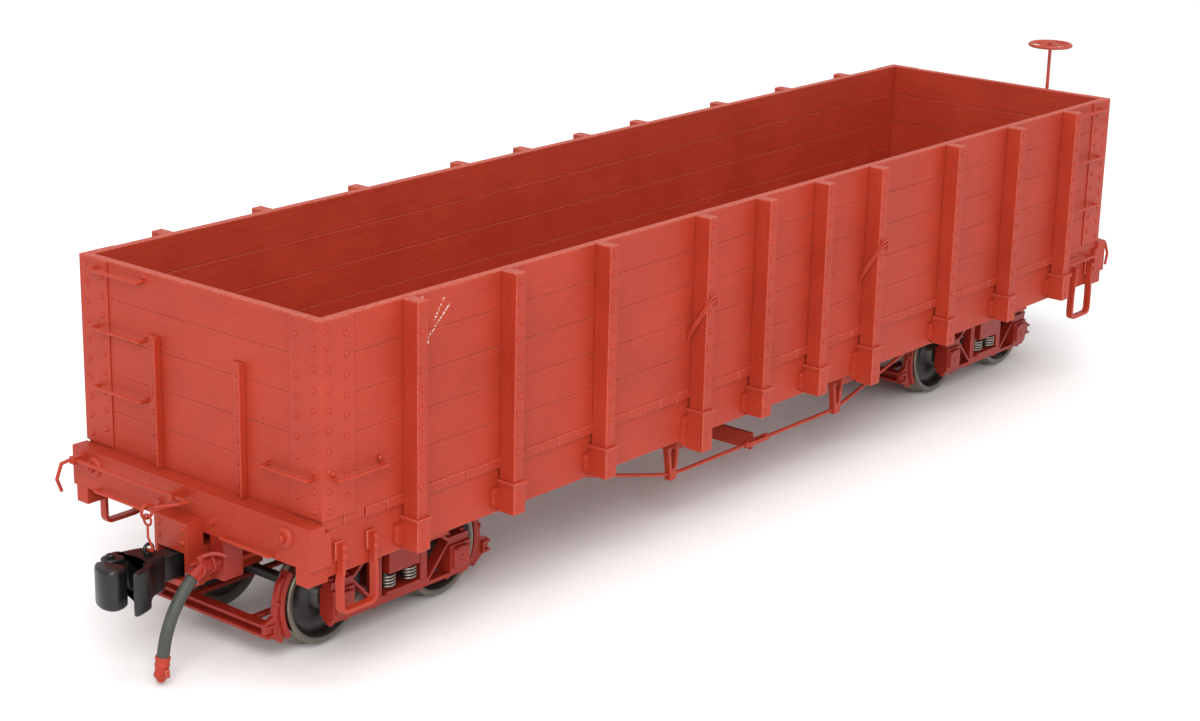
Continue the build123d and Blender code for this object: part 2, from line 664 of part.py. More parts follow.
# ---------------------------------------------------------------- hand brake
bx, by = end_sill_front + brake_staff_standoff, brake_staff_offset
brake_top = box_top + brake_wheel_above_box
staff = rod((bx, by, end_sill_bottom - 9.0), (bx, by, brake_top + 1.4), brake_staff_radius)
for z in (box_top - 17.8, end_sill_bottom + 3.0):
    seat = outer_half_length if z > end_sill_top else end_sill_front
    staff += block(seat, bx + 1.6, by - 1.6, by + 1.6, z - 0.8, z + 0.8)
staff += block(outer_half_length + end_stake_web + 0.3, bx + 2.4, by - 3.2, by + 3.2,
               end_sill_top, end_sill_top + 1.4)
staff += rod((bx, by, end_sill_top + 1.4), (bx, by, end_sill_top + 3.0), 2.2)
wheel = Pos(bx, by, brake_top) * Torus(brake_wheel_radius - 0.75, 0.75)
hub = rod((bx, by, brake_top - 1.2), (bx, by, brake_top + 1.0), 2.0)
for i in range(5):
    angle = radians(72 * i + 18)
    hub += rod((bx, by, brake_top), (bx + cos(angle) * 8.8, by + sin(angle) * 8.8, brake_top), 0.55)
brake_wheel = wheel + hub - rod((bx, by, brake_top - 5), (bx, by, brake_top + 5), brake_staff_radius)
save("brake_wheel", brake_wheel)
save("brake_staff", staff)


# ---------------------------------------------------------------- trucks, built about x = 0
def arch_bar(outline_mid, y):
    """A bent bar: its centre line points thickened up and down, carried across its width."""
    half = arch_bar_thickness / 2
    upper = [(x, z + half) for x, z in outline_mid]
    lower = [(x, z - half) for x, z in reversed(outline_mid)]
    return prism_y(upper + lower, y - arch_bar_width / 2, y + arch_bar_width / 2)


def side_frame():
    """Top arch bar, inverted arch bar and tie bar of the +Y side, with the columns between them."""
    t = arch_bar_thickness
    seat_out = axle_offset + box_half_width
    seat_in = axle_offset - box_half_width - 0.3
    flat = column_position + column_width / 2 + 0.5
    low = box_bottom_z
    inverted_low = low + t / 2
    inverted = [(-seat_out, box_top_z + t / 2), (-seat_in, box_top_z + t / 2), (-flat, inverted_low),
                (flat, inverted_low), (seat_in, box_top_z + t / 2), (seat_out, box_top_z + t / 2)]
    top_mid = rail_top + h_top_bar + t / 2
    top = [(-seat_out, box_top_z + 3 * t / 2), (-seat_in, box_top_z + 3 * t / 2), (-flat, top_mid),
           (flat, top_mid), (seat_in, box_top_z + 3 * t / 2), (seat_out, box_top_z + 3 * t / 2)]
    shape = arch_bar(inverted, frame_offset) + arch_bar(top, frame_offset)
    shape += block(-seat_out, seat_out, frame_offset - arch_bar_width / 2, frame_offset + arch_bar_width / 2,
                   low - t, low)
    for sign in (-1, 1):
        x = sign * column_position
        shape += block(x - column_width / 2, x + column_width / 2, frame_offset - 1.9, frame_offset + 1.9,
                       low + t, rail_top + h_top_bar)
    return shape


def journal_box(x):
    """Cast oil box on the +Y side, with its lid and the journal's blind bore."""
    shape = block(x - box_half_width, x + box_half_width, box_back, box_front, box_bottom_z, box_top_z)
    shape += block(x - 3.9, x + 3.9, box_front, box_front + 0.7, axle_z - 3.4, axle_z + 3.7)
    shape -= disc_y(x, axle_z, box_back - 1, box_front - 1.2, journal_radius + running_clearance)
    return shape


def truck_bolster():
    """Cast bolster with centre plate and side bearings, bored for the king pin."""
    half = truck_bolster_width / 2
    low = rail_top + h_truck_bolster_bottom
    shape = block(-half, half, -truck_half_width, truck_half_width, low, truck_bolster_top)
    shape += rod((0, 0, truck_bolster_top), (0, 0, plate_top), plate_radius)
    for y in (-side_bearing_offset, side_bearing_offset):
        shape += block(-2.5, 2.5, y - 2.0, y + 2.0, truck_bolster_top, body_bolster_bottom - 2.2)
    return shape - rod((0, 0, truck_bolster_top - 7.5), (0, 0, plate_top + 1), king_pin_radius + running_clearance)


plank_low = box_bottom_z + arch_bar_thickness
plank_high = plank_low + 1.4


def spring_plank():
    """Plate across the truck that the springs stand on."""
    half = column_position - column_width / 2 - 0.9
    return block(-half, half, -truck_half_width, truck_half_width, plank_low, plank_high)


def springs():
    """Two springs under each end of the bolster, as sleeves of the coils' outline."""
    low = rail_top + h_truck_bolster_bottom
    shapes = []
    for y in (-frame_offset, frame_offset):
        for x in (-spring_spacing / 2, spring_spacing / 2):
            shapes.append(rod((x, y, plank_high), (x, y, low), spring_radius)
                          - rod((x, y, plank_high - 1), (x, y, low + 1), spring_radius - 2 * spring_wire))
    return shapes


def brake_gear():
    """Channel beam outside each axle, heads and shoes, and the straps that carry both beams."""
    beam = brake_beam_position
    beam_z = rail_top + h_brake_beam
    shoe_y0, shoe_y1 = wheel_back + flange_width + 0.5, wheel_front - 0.3
    inner = tread_radius + shoe_gap
    strap_high = plank_low
    shape = None
    for sign in (-1, 1):
        profile = [(sign * (beam - 1.9), beam_z - 2.1), (sign * (beam + 1.9), beam_z - 2.1),
                   (sign * (beam + 1.9), beam_z - 1.2), (sign * (beam - 0.9), beam_z - 1.2),
                   (sign * (beam - 0.9), beam_z + 1.2), (sign * (beam + 1.9), beam_z + 1.2),
                   (sign * (beam + 1.9), beam_z + 2.1), (sign * (beam - 1.9), beam_z + 2.1)]
        part = prism_y(profile, -wheel_front + 0.3, wheel_front - 0.3)
        head = prism_y([(sign * (beam - 6), beam_z + 13.2), (sign * (beam - 3.6), beam_z + 10.4),
                        (sign * (beam + 1.9), beam_z + 3.6), (sign * (beam + 1.9), beam_z - 2.1),
                        (sign * (beam - 8), beam_z - 8.6)], shoe_y0, shoe_y1)
        head -= disc_y(sign * axle_offset, axle_z, shoe_y0 - 1, shoe_y1 + 1, inner)
        part = part + head + head.mirror(Plane.XZ)
        shape = part if shape is None else shape + part
    for y in (-hanger_offset, hanger_offset):
        shape += block(-beam + 1.5, beam - 1.5, y - 1.3, y + 1.3, strap_high - 1.3, strap_high)
    return shape


def wheel(back, front):
    """Flanged wheel turned about Y: flange at the back, recessed web, hub standing proud in front."""
    hub_front = front + 0.7
    web = (back + front) / 2
    outline = [(axle_radius, back), (5.0, back), (5.6, web - 1.2), (tread_radius - rim_thickness - 0.6, web - 1.2),
               (tread_radius - rim_thickness, back), (flange_radius - 0.5, back), (flange_radius, back + 0.6),
               (flange_radius - 0.3, back + flange_width - 0.5), (tread_radius, back + flange_width + 0.2),
               (tread_radius - 0.15, front - 0.3), (tread_radius - 0.5, front),
               (tread_radius - rim_thickness + 0.4, front), (tread_radius - rim_thickness, web + 0.8),
               (5.0, web + 0.8), (4.2, hub_front), (axle_radius, hub_front)]
    face = make_face(Polyline(*[(r, y, 0) for r, y in outline], close=True))
    return revolve(face, Axis.Y, 360)


def wheelset(x):
    """A pair of wheels and their axle, journals reaching into the boxes."""
    right = wheel(wheel_back, wheel_front)
    wheels = [Pos(x, 0, axle_z) * right, Pos(x, 0, axle_z) * right.mirror(Plane.XZ)]
    hub = wheel_front + 0.7
    journal_end = box_front - 1.5
    axle = disc_y(x, axle_z, -hub, hub, axle_radius)
    axle += disc_y(x, axle_z, -journal_end, journal_end, journal_radius)
    return wheels, axle


for end, turn in (("a", Pos(-truck_position, 0, 0)), ("b", Rot(0, 0, 180) * Pos(-truck_position, 0, 0))):
    frame_side = side_frame()
    boxes = [journal_box(x) for x in (-axle_offset, axle_offset)]
    nodes = {
        "side_frames": both_sides(frame_side),
        "journal_boxes": [shape for box in boxes for shape in both_sides(box)],
        "bolster": [truck_bolster()],
        "spring_plank": [spring_plank()],
        "springs": springs(),
        "brakes": [brake_gear()],
    }
    for name, shapes in nodes.items():
        save(f"truck_{end}_{name}", [turn * shape for shape in shapes])
    for number, x in ((1, -axle_offset), (2, axle_offset)):
        wheels, axle = wheelset(x)
        save(f"wheels_{end}{number}", [turn * shape for shape in wheels])
        save(f"axle_{end}{number}", turn * axle)
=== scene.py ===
"""High side gondola, a painted scale model on two arch-bar trucks: its looks, built round the frame."""
import bmesh
import bpy
import json
import math
import numpy as np
from mathutils import Matrix, Vector

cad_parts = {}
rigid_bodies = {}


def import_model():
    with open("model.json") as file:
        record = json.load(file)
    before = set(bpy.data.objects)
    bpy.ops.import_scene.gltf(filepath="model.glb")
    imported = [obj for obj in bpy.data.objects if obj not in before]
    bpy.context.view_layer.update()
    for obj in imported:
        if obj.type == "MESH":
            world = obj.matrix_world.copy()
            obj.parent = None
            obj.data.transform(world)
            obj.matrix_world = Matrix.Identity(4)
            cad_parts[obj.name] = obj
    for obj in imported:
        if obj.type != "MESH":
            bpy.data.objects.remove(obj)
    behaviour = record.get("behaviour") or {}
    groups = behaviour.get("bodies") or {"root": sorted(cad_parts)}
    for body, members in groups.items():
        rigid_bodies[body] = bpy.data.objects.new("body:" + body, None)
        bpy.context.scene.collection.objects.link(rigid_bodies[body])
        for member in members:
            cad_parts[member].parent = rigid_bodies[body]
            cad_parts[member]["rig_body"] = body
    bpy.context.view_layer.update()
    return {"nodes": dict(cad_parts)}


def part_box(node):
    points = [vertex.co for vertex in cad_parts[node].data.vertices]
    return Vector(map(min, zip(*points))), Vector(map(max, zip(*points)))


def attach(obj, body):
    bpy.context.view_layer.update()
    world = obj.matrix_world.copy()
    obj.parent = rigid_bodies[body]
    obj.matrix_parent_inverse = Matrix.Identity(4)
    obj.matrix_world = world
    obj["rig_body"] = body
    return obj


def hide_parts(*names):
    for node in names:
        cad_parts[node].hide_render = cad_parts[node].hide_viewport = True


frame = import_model()

# ------------------------------------------------------------------ camera
# A long lens stands off the left end's near corner, a little above the box. The car leans away to
# the right, so the box's end, one whole side and the inside of the far side are all in view.
mm = 0.001
azimuth, elevation, roll = math.radians(48.89), math.radians(17.79), math.radians(0.88)
forward = Vector((math.sin(azimuth) * math.cos(elevation), math.cos(azimuth) * math.cos(elevation),
                  -math.sin(elevation)))
level = Vector((math.cos(azimuth), -math.sin(azimuth), 0))
upright = level.cross(forward)
right = math.cos(roll) * level + math.sin(roll) * upright
up = math.cos(roll) * upright - math.sin(roll) * level
lens_data = bpy.data.cameras.new("camera")
lens_data.sensor_width = 36
lens_data.lens = 73.19
lens_data.shift_x = 0.0578
lens_data.shift_y = 0.0123
lens_data.clip_start = 0.01
camera = bpy.data.objects.new("camera", lens_data)
camera.matrix_world = Matrix((right, up, -forward)).transposed().to_4x4()
camera.location = (-705.23 * mm, -547.82 * mm, 322.74 * mm)
bpy.context.scene.collection.objects.link(camera)
bpy.context.scene.camera = camera


# ------------------------------------------------------------------ air hoses
# A short grey rubber hose hangs from the angle cock at each end. It is pushed over the cock's
# nipple at the top and held in the coupling's ferrule at the bottom.
class Socket:
    """A shader value that can be written in expressions: each operator adds a Math node."""

    def __init__(self, finish, link):
        self.finish, self.link = finish, link

    def combine(self, operation, first, second):
        return self.finish.add("ShaderNodeMath", {"operation": operation}, {0: first, 1: second})

    def __add__(self, other):
        return self.combine("ADD", self, other)

    def __sub__(self, other):
        return self.combine("SUBTRACT", self, other)

    def __rsub__(self, other):
        return self.combine("SUBTRACT", other, self)

    def __mul__(self, other):
        return self.combine("MULTIPLY", self, other)

    def __truediv__(self, other):
        return self.combine("DIVIDE", self, other)

    def __pow__(self, other):
        return self.combine("POWER", self, other)

    def least(self, other):
        return self.combine("MINIMUM", self, other)

    def most(self, other):
        return self.combine("MAXIMUM", self, other)

    __radd__ = __add__
    __rmul__ = __mul__


class Finish:
    """A material under construction, with its Principled shader."""

    def __init__(self, name, **constants):
        self.material = bpy.data.materials.new(name)
        self.material.use_nodes = True
        self.nodes = self.material.node_tree.nodes
        self.shader = self.nodes["Principled BSDF"]
        for socket, value in constants.items():
            self.shader.inputs[socket.replace("_", " ")].default_value = value
        self.place = self.add("ShaderNodeTexCoord", {}, {}, "Object")

    def add(self, kind, settings, sockets, out=0):
        """One node: its settings first, then the values or links of its sockets."""
        node = self.nodes.new(kind)
        for name, value in settings.items():
            if name == "stops":
                while len(node.color_ramp.elements) < len(value):
                    node.color_ramp.elements.new(1.0)
                for element, (position, level) in zip(node.color_ramp.elements, value):
                    element.position = position
                    element.color = (level, level, level, 1)
            else:
                setattr(node, name, value)
        for name, value in sockets.items():
            if isinstance(value, Socket):
                self.material.node_tree.links.new(value.link, node.inputs[name])
            else:
                node.inputs[name].default_value = value
        return Socket(self, node.outputs[out])

    def drive(self, **sockets):
        """Link values to the Principled shader."""
        for name, value in sockets.items():
            self.material.node_tree.links.new(value.link, self.shader.inputs[name.replace("_", " ")])
        return self.material

    def stretch(self, scale, detail=4.0, rough=0.55, shift=(0, 0, 0)):
        """Noise on object coordinates, with its own scale along X, Y and Z in cycles per metre."""
        where = self.add("ShaderNodeMapping", {}, {"Vector": self.place, "Scale": scale, "Location": shift})
        return self.add("ShaderNodeTexNoise", {}, {"Vector": where, "Scale": 1.0, "Detail": detail,
                                                   "Roughness": rough}, "Fac")

    def ramp(self, value, *stops):
        """A grey ramp through (position, level) stops."""
        return self.add("ShaderNodeValToRGB", {"stops": stops}, {"Fac": value}, "Color")

    def blend(self, factor, first, second):
        """Mix of two colours by a factor."""
        return self.add("ShaderNodeMix", {"data_type": "RGBA"}, {0: factor, 6: first, 7: second}, 2)

    def bump(self, height, strength, distance):
        """Normal from a height in shader units."""
        return self.add("ShaderNodeBump", {}, {"Height": height, "Strength": strength,
                                               "Distance": distance})


def hose_finish():
    """Grey rubber: cloudy, with a faint spiral wrap and a dusty bloom."""
    finish = Finish("hose_rubber", Roughness=0.62)
    cloud = finish.stretch((180, 180, 180))
    wrap = finish.stretch((300, 300, 1500), 2.0)
    color = finish.blend(cloud, (0.022, 0.025, 0.02, 1), (0.062, 0.066, 0.053, 1))
    return finish.drive(Base_Color=color, Normal=finish.bump(cloud * 0.4 + wrap * 0.6, 0.25, 0.0002))


hose_diameter = 4.0 * mm
hose_route = ((-248.2, -13.2, 33.6), (-253.1, -13.5, 29.8), (-257.0, -13.6, 25.0), (-259.7, -13.3, 19.4),
              (-261.2, -12.8, 13.4), (-261.6, -12.2, 7.2))
rubber = hose_finish()


def at_end(points, end):
    """End a's points in millimetres, in metres; for end b turned half round about the car's middle."""
    turn = np.array((1, 1, 1) if end == "a" else (-1, -1, 1))
    return np.asarray(points, float) * turn * mm


hoses = {}
for end in "ab":
    curve = bpy.data.curves.new("air_hose_" + end, "CURVE")
    curve.dimensions = "3D"
    curve.bevel_depth = hose_diameter / 2
    curve.bevel_resolution = 6
    curve.resolution_u = 16
    curve.use_fill_caps = True
    line = curve.splines.new("NURBS")
    line.points.add(len(hose_route) - 1)
    for point, place in zip(line.points, at_end(hose_route, end)):
        point.co = (*place, 1)
    line.order_u = 3
    line.use_endpoint_u = True
    hoses[end] = bpy.data.objects.new("hose_" + end, curve)
    curve.materials.append(rubber)
    bpy.context.scene.collection.objects.link(hoses[end])
    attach(hoses[end], "car_body")
    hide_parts("air_hose_" + end)


# ------------------------------------------------------------------ red paint
# Every moulded and cast piece of the car wears one satin oxide red. Its rounded edges pale, partly as wear
# and partly as a painted highlight, a painted highlight runs along the wall tops, and over the wooden
# pieces it follows a fine grain pressed into the surface.
red_light, red_mid = (0.385, 0.0355, 0.0145, 1), (0.325, 0.0265, 0.0095, 1)
red_dark = (0.17, 0.012, 0.005, 1)
grain_along = {"x": (40, 1700, 1700), "y": (1700, 40, 1700), "z": (1700, 1700, 40)}


def scratch_mask(finish, marks, width):
    """1 on thin broken lines. Each mark is a stroke between two points in X and Z; its distance is
    |p - a - t (b - a)| with t = (p - a).(b - a) / |b - a|^2 held between 0 and 1."""
    split = finish.add("ShaderNodeSeparateXYZ", {}, {0: finish.place})
    x, y, z = (Socket(finish, split.link.node.outputs[axis]) for axis in "XYZ")
    nearest = None
    for (x0, z0), (x1, z1) in marks:
        run, rise = x1 - x0, z1 - z0
        long = run * run + rise * rise
        along = (((x - x0) * run + (z - z0) * rise) / long).least(1.0).most(0.0)
        far = ((x - x0 - along * run) ** 2.0 + (z - z0 - along * rise) ** 2.0) ** 0.5
        nearest = far if nearest is None else nearest.least(far)
    broken = finish.stretch((1300, 1300, 1300), 2.0, 0.6)
    outside = finish.add("ShaderNodeMath", {"operation": "LESS_THAN"}, {0: y, 1: -54.0 * mm})
    line = finish.ramp(nearest / width, (0.35, 1.0), (1.0, 0.0)) * outside
    return line * finish.ramp(broken, (0.48, 0.0), (0.56, 1.0))


def red_paint(name, grain=None, marks=(), light=red_light, mid=red_mid, satin=0.40):
    """Oxide red. grain is the axis that the wood runs along, or None for a cast piece; marks are scuffs."""
    finish = Finish(name, Specular_IOR_Level=0.3)
    cloud = finish.stretch((38, 38, 38), 5.0)
    speck = finish.stretch((900, 900, 900), 3.0)
    color = finish.blend(finish.ramp(cloud, (0.3, 0.0), (0.7, 1.0)), mid, light)
    color = finish.blend(finish.ramp(speck, (0.62, 0.0), (0.78, 0.22)), color, (0.52, 0.11, 0.065, 1))
    split = finish.add("ShaderNodeSeparateXYZ", {}, {0: finish.place})
    # Painted highlight: a band along the top 2 mm of the walls, above z 118.8 mm, is lightened in broken
    # patches.
    rim = finish.ramp((Socket(finish, split.link.node.outputs["Z"]) - 118.8 * mm) / (2.0 * mm), (0.3, 0.0),
                      (0.68, 1.0))
    color = finish.blend(rim * finish.ramp(speck, (0.42, 0.1), (0.66, 0.5)), color, (0.5, 0.15, 0.1, 1))
    # Rounded edges marked 'edge' are lightened in broken patches: partly pale paint wear, partly a painted
    # edge highlight.
    worn = finish.add("ShaderNodeAttribute", {"attribute_name": "edge"}, {}, "Fac")
    chalky_wear_and_highlight = finish.ramp(speck, (0.35, 0.15), (0.7, 0.8))
    color = finish.blend(worn * chalky_wear_and_highlight, color, (0.56, 0.17, 0.115, 1))
    height = speck * 0.25
    rough = satin + cloud * 0.16
    if grain:
        lines = finish.stretch(grain_along[grain], 6.0, 0.62)
        broad = finish.stretch([value / 3 for value in grain_along[grain]], 3.0, 0.5, (3.1, 1.7, 2.3))
        pores = finish.ramp(lines, (0.36, 1.0), (0.5, 0.0))
        color = finish.blend(pores * 0.2, color, red_dark)
        height = height * 0.4 + lines * 0.75 + broad * 0.35
        rough = rough + lines * 0.10
    if marks:
        color = finish.blend(scratch_mask(finish, marks, 0.42 * mm), color, (0.74, 0.62, 0.56, 1))
    return finish.drive(Base_Color=color, Roughness=rough, Normal=finish.bump(height, 0.5, 0.00026))


wood_x, wood_y, wood_z = (red_paint("red_wood_" + axis, axis) for axis in "xyz")
cast_red = red_paint("red_casting")
truck_red = red_paint("red_truck", None, (), (0.30, 0.021, 0.0115, 1), (0.235, 0.0145, 0.008, 1), 0.30)
scuffs = np.array((((-190.6, 118.6), (-189.2, 100.2)), ((-188.2, 105.2), (-178.4, 114.2)),
                   ((-185.2, 110.6), (-181.0, 116.4)), ((-189.9, 112.0), (-188.0, 103.6)))) * mm
wood_scuffed = red_paint("red_wood_scuffed", "x", scuffs.tolist())


# ------------------------------------------------------------------ glad hands
# The coupling on each hose is a red casting: a ribbed ferrule round the hose's end, and a flat
# curved claw that hooks its neighbour's.
def build(name, points, faces, normals=None, edge=None, lids=(), sharp=38.0):
    """Mesh object from point and corner arrays. Points that coincide are merged, sides that collapse are
    dropped, and a shell that encloses less than nothing is turned right way out."""
    points = np.asarray(points, float).reshape(-1, 3)
    _, first, back = np.unique(np.round(points * 1e7).astype(np.int64), axis=0, return_index=True,
                               return_inverse=True)
    back = back.reshape(-1)
    corners = back[faces]
    place = points[first]
    fan = place[corners]
    volume = np.einsum("ij,ij->", fan[:, 0], np.cross(fan[:, 1], fan[:, 2])
                       + np.cross(fan[:, 2], fan[:, 3]))
    for ring in lids:
        loop = place[back[ring]]
        volume += np.einsum("j,ij->", loop[0], np.cross(loop[1:-1], loop[2:]))
    keep = corners != np.roll(corners, 1, axis=1)
    whole = keep.sum(1) > 2
    sizes = keep[whole].sum(1)
    loops = corners[whole][keep[whole]]
    for ring in lids:
        loops = np.concatenate((loops, back[ring]))
        sizes = np.append(sizes, len(ring))
    starts = np.concatenate(([0], np.cumsum(sizes)[:-1]))
    mesh = bpy.data.meshes.new(name)
    mesh.vertices.add(len(place))
    mesh.vertices.foreach_set("co", place.ravel())
    mesh.loops.add(len(loops))
    mesh.loops.foreach_set("vertex_index", loops.astype(np.int32))
    mesh.polygons.add(len(sizes))
    mesh.polygons.foreach_set("loop_start", starts.astype(np.int32))
    mesh.update(calc_edges=True)
    if volume < 0:
        mesh.flip_normals()
    mesh.validate()
    mesh.shade_smooth()
    if normals is None:
        mesh.set_sharp_from_angle(angle=math.radians(sharp))
    else:
        mesh.normals_split_custom_set_from_vertices(np.asarray(normals, float).reshape(-1, 3)[first])
    wear = mesh.attributes.new("edge", "FLOAT", "POINT")
    values = np.zeros(len(place)) if edge is None else np.asarray(edge, float).reshape(-1)[first]
    wear.data.foreach_set("value", values.astype(np.float32))
    piece = bpy.data.objects.new(name, mesh)
    bpy.context.scene.collection.objects.link(piece)
    return piece


def skin(name, grid, normals=None, edge=None, lidded=False, sharp=38.0):
    """Surface over grids of points (copies, rows, columns, 3), closed round the columns. lidded adds a flat
    face over the first and last row of each copy; otherwise those rows are drawn to a point by the caller."""
    grid = np.asarray(grid, float)
    grid = grid.reshape((-1,) + grid.shape[-3:])
    copies, rows, columns, _ = grid.shape
    index = np.arange(copies * rows * columns).reshape(copies, rows, columns)
    ahead = np.roll(index, -1, axis=2)
    faces = np.stack((index[:, :-1], ahead[:, :-1], ahead[:, 1:], index[:, 1:]), axis=-1).reshape(-1, 4)
    lids = [ring for copy in index for ring in (copy[0][::-1], copy[-1])] if lidded else ()
    return build(name, grid, faces, normals, edge, lids, sharp)


def turned(centers, directions, radii, heights, sides=16, phase=0.0):
    """Solids of revolution: ring j of each has radius radii[j] at height heights[j] above its centre, along
    its direction. Returns grids (copies, rows, sides, 3); a first and last radius of 0 close them."""
    centers = np.atleast_2d(np.asarray(centers, float))
    axis = np.broadcast_to(np.atleast_2d(np.asarray(directions, float)), centers.shape)
    axis = axis / np.linalg.norm(axis, axis=1, keepdims=True)
    spare = np.where(np.abs(axis[:, 2:3]) > 0.7, np.array([[1.0, 0, 0]]), np.array([[0, 0, 1.0]]))
    side = np.cross(spare, axis)
    side = side / np.linalg.norm(side, axis=1, keepdims=True)
    other = np.cross(axis, side)
    turn = np.linspace(0, 2 * np.pi, sides, endpoint=False) + phase
    ring = side[:, None, :] * np.cos(turn)[:, None] + other[:, None, :] * np.sin(turn)[:, None]
    radii, heights = np.asarray(radii, float), np.asarray(heights, float)
    return (centers[:, None, None, :] + ring[:, None] * radii[None, :, None, None]
            + axis[:, None, None, :] * heights[None, :, None, None])


def place(piece, *nodes, body="car_body", material=cast_red, slot="car_red"):
    """Give a piece its finish and body, and hide the CAD nodes that it stands for; slot is not used."""
    piece.data.materials.append(material)
    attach(piece, body)
    if nodes:
        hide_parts(*nodes)
    return piece


def lathed(name, spots, axes, profile, sides=16, sharp=38.0):
    """Turned pieces, one at each spot along its axis. A profile's rows are radius and height in mm."""
    radii, heights = np.array(profile).T * mm
    return skin(name, turned(spots, axes, radii, heights, sides), sharp=sharp)


def smooth_path(points, radius, steps=6):
    """A wire's centre line: each inner corner becomes a parabola that starts and ends radius away from it."""
    points = np.asarray(points, float)
    before, corner, after = points[:-2], points[1:-1], points[2:]
    reach_in = np.minimum(radius, 0.48 * np.linalg.norm(before - corner, axis=1))[:, None]
    reach_out = np.minimum(radius, 0.48 * np.linalg.norm(after - corner, axis=1))[:, None]
    start = corner + (before - corner) / np.linalg.norm(before - corner, axis=1, keepdims=True) * reach_in
    stop = corner + (after - corner) / np.linalg.norm(after - corner, axis=1, keepdims=True) * reach_out
    t = np.linspace(0, 1, steps)[None, :, None]
    bends = (1 - t) ** 2 * start[:, None] + 2 * t * (1 - t) * corner[:, None] + t ** 2 * stop[:, None]
    return np.vstack((points[:1], bends.reshape(-1, 3), points[-1:]))


def tube(path, radius, across, sides=12):
    """A round bar along a path: ring(u) = path + radius (n cos u + b sin u), n square to the path and to
    'across'. Its ends are drawn in to points."""
    path = np.asarray(path, float)
    tangent = np.gradient(path, axis=0)
    tangent /= np.linalg.norm(tangent, axis=1, keepdims=True)
    normal = np.cross(np.asarray(across, float), tangent)
    normal /= np.linalg.norm(normal, axis=1, keepdims=True)
    binormal = np.cross(tangent, normal)
    turn = np.linspace(0, 2 * np.pi, sides, endpoint=False)
    ring = normal[:, None] * np.cos(turn)[:, None] + binormal[:, None] * np.sin(turn)[:, None]
    radius = np.broadcast_to(np.asarray(radius, float), len(path))
    body = path[:, None] + ring * radius[:, None, None]
    first = np.repeat(path[:1, None], sides, axis=1)
    last = np.repeat(path[-1:, None], sides, axis=1)
    return np.concatenate((first, body, last))


def joined(name, pieces):
    """One object from several that were made apart."""
    with bpy.context.temp_override(active_object=pieces[0], selected_editable_objects=pieces):
        bpy.ops.object.join()
    pieces[0].name = name
    return pieces[0]


def rounded_blocks(corners, radius, arc=2):
    """Boxes with rounded edges. corners is (n, 2, 3), lowest and highest. Each is a sphere's grid of normals
    n(u, v), pushed apart: point = centre + sign(n) (half size - radius) + radius n.
    Returns grids, normals and an edge mark that is 1 in the middle of each rounding."""
    corners = np.asarray(corners, float).reshape(-1, 2, 3)
    low, high = corners.min(1), corners.max(1)
    middle, half = (low + high) / 2, (high - low) / 2
    radius = np.minimum(np.broadcast_to(np.asarray(radius, float), len(middle)), 0.49 * half.min(1) * 2)
    quarter = np.linspace(0, np.pi / 2, arc + 1)
    u = (np.arange(4)[:, None] * np.pi / 2 + quarter).ravel()
    u_sign = np.repeat(np.array([(1, 1), (-1, 1), (-1, -1), (1, -1)]), arc + 1, axis=0)
    v = np.concatenate((quarter - np.pi / 2, quarter))
    v_sign = np.repeat((-1, 1), arc + 1)
    normal = np.stack((np.broadcast_to(np.sin(v)[:, None], (len(v), len(u))),
                       np.cos(v)[:, None] * np.cos(u), np.cos(v)[:, None] * np.sin(u)), axis=-1)
    sign = np.stack((np.broadcast_to(v_sign[:, None], (len(v), len(u))),
                     np.broadcast_to(u_sign[:, 0], (len(v), len(u))),
                     np.broadcast_to(u_sign[:, 1], (len(v), len(u)))), axis=-1)
    reach = (half - radius[:, None])[:, None, None]
    grid = middle[:, None, None] + sign * reach + radius[:, None, None, None] * normal
    cap_low = np.broadcast_to(grid[:, :1].mean(2, keepdims=True), grid[:, :1].shape)
    cap_high = np.broadcast_to(grid[:, -1:].mean(2, keepdims=True), grid[:, :1].shape)
    grid = np.concatenate((cap_low, grid, cap_high), axis=1)
    normal = np.concatenate((normal[:1] * 0 + (-1, 0, 0), normal, normal[:1] * 0 + (1, 0, 0)))
    mark = 1 - np.clip(np.abs(normal).max(-1) - 0.75, 0, 0.2) / 0.2
    copies = len(middle)
    normal, mark = (np.broadcast_to(part, (copies,) + part.shape) for part in (normal, mark))
    return grid, normal, mark


def blocks(name, corners, radius, arc=2):
    """A mesh of rounded boxes, one for each pair of corners."""
    grid, normals, mark = rounded_blocks(corners, radius, arc)
    return skin(name, grid, normals, mark)


ferrule_radii = np.array((0, 2.1, 2.4, 2.45, 2.25, 2.3, 2.45, 2.3, 2.2, 1.95, 1.5, 1.1, 0)) * mm
ferrule_heights = np.array((0, 0, 0.25, 1.0, 1.25, 2.6, 2.85, 3.1, 4.6, 6.6, 8.0, 8.6, 8.7)) * mm
for end in "ab":
    route = at_end(hose_route, end)
    fall = (route[-1] - route[-2]) / np.linalg.norm(route[-1] - route[-2])
    top = route[-1] - fall * 3.0 * mm
    ferrule = skin("ferrule", turned([top], [fall], ferrule_radii, ferrule_heights, 24))
    sign = -1 if end == "a" else 1
    lip_at = top + fall * 4.2 * mm
    claw = blocks("claw", [(lip_at + np.array((-0.9, sign * 1.7, -2.6)) * mm, lip_at
                            + np.array((0.9, sign * 2.9, 0.2)) * mm)], 0.4 * mm)
    boss = lathed("boss", [top + fall * 5.9 * mm], [(sign, 0, 0)],
                  ((0, 0.0), (1.2, 0.0), (1.4, 0.4), (1.4, 1.9), (1.0, 2.3), (0, 2.3)), 20)
    place(joined("glad_hand_piece_" + end, [ferrule, claw, boss]), "glad_hand_" + end)


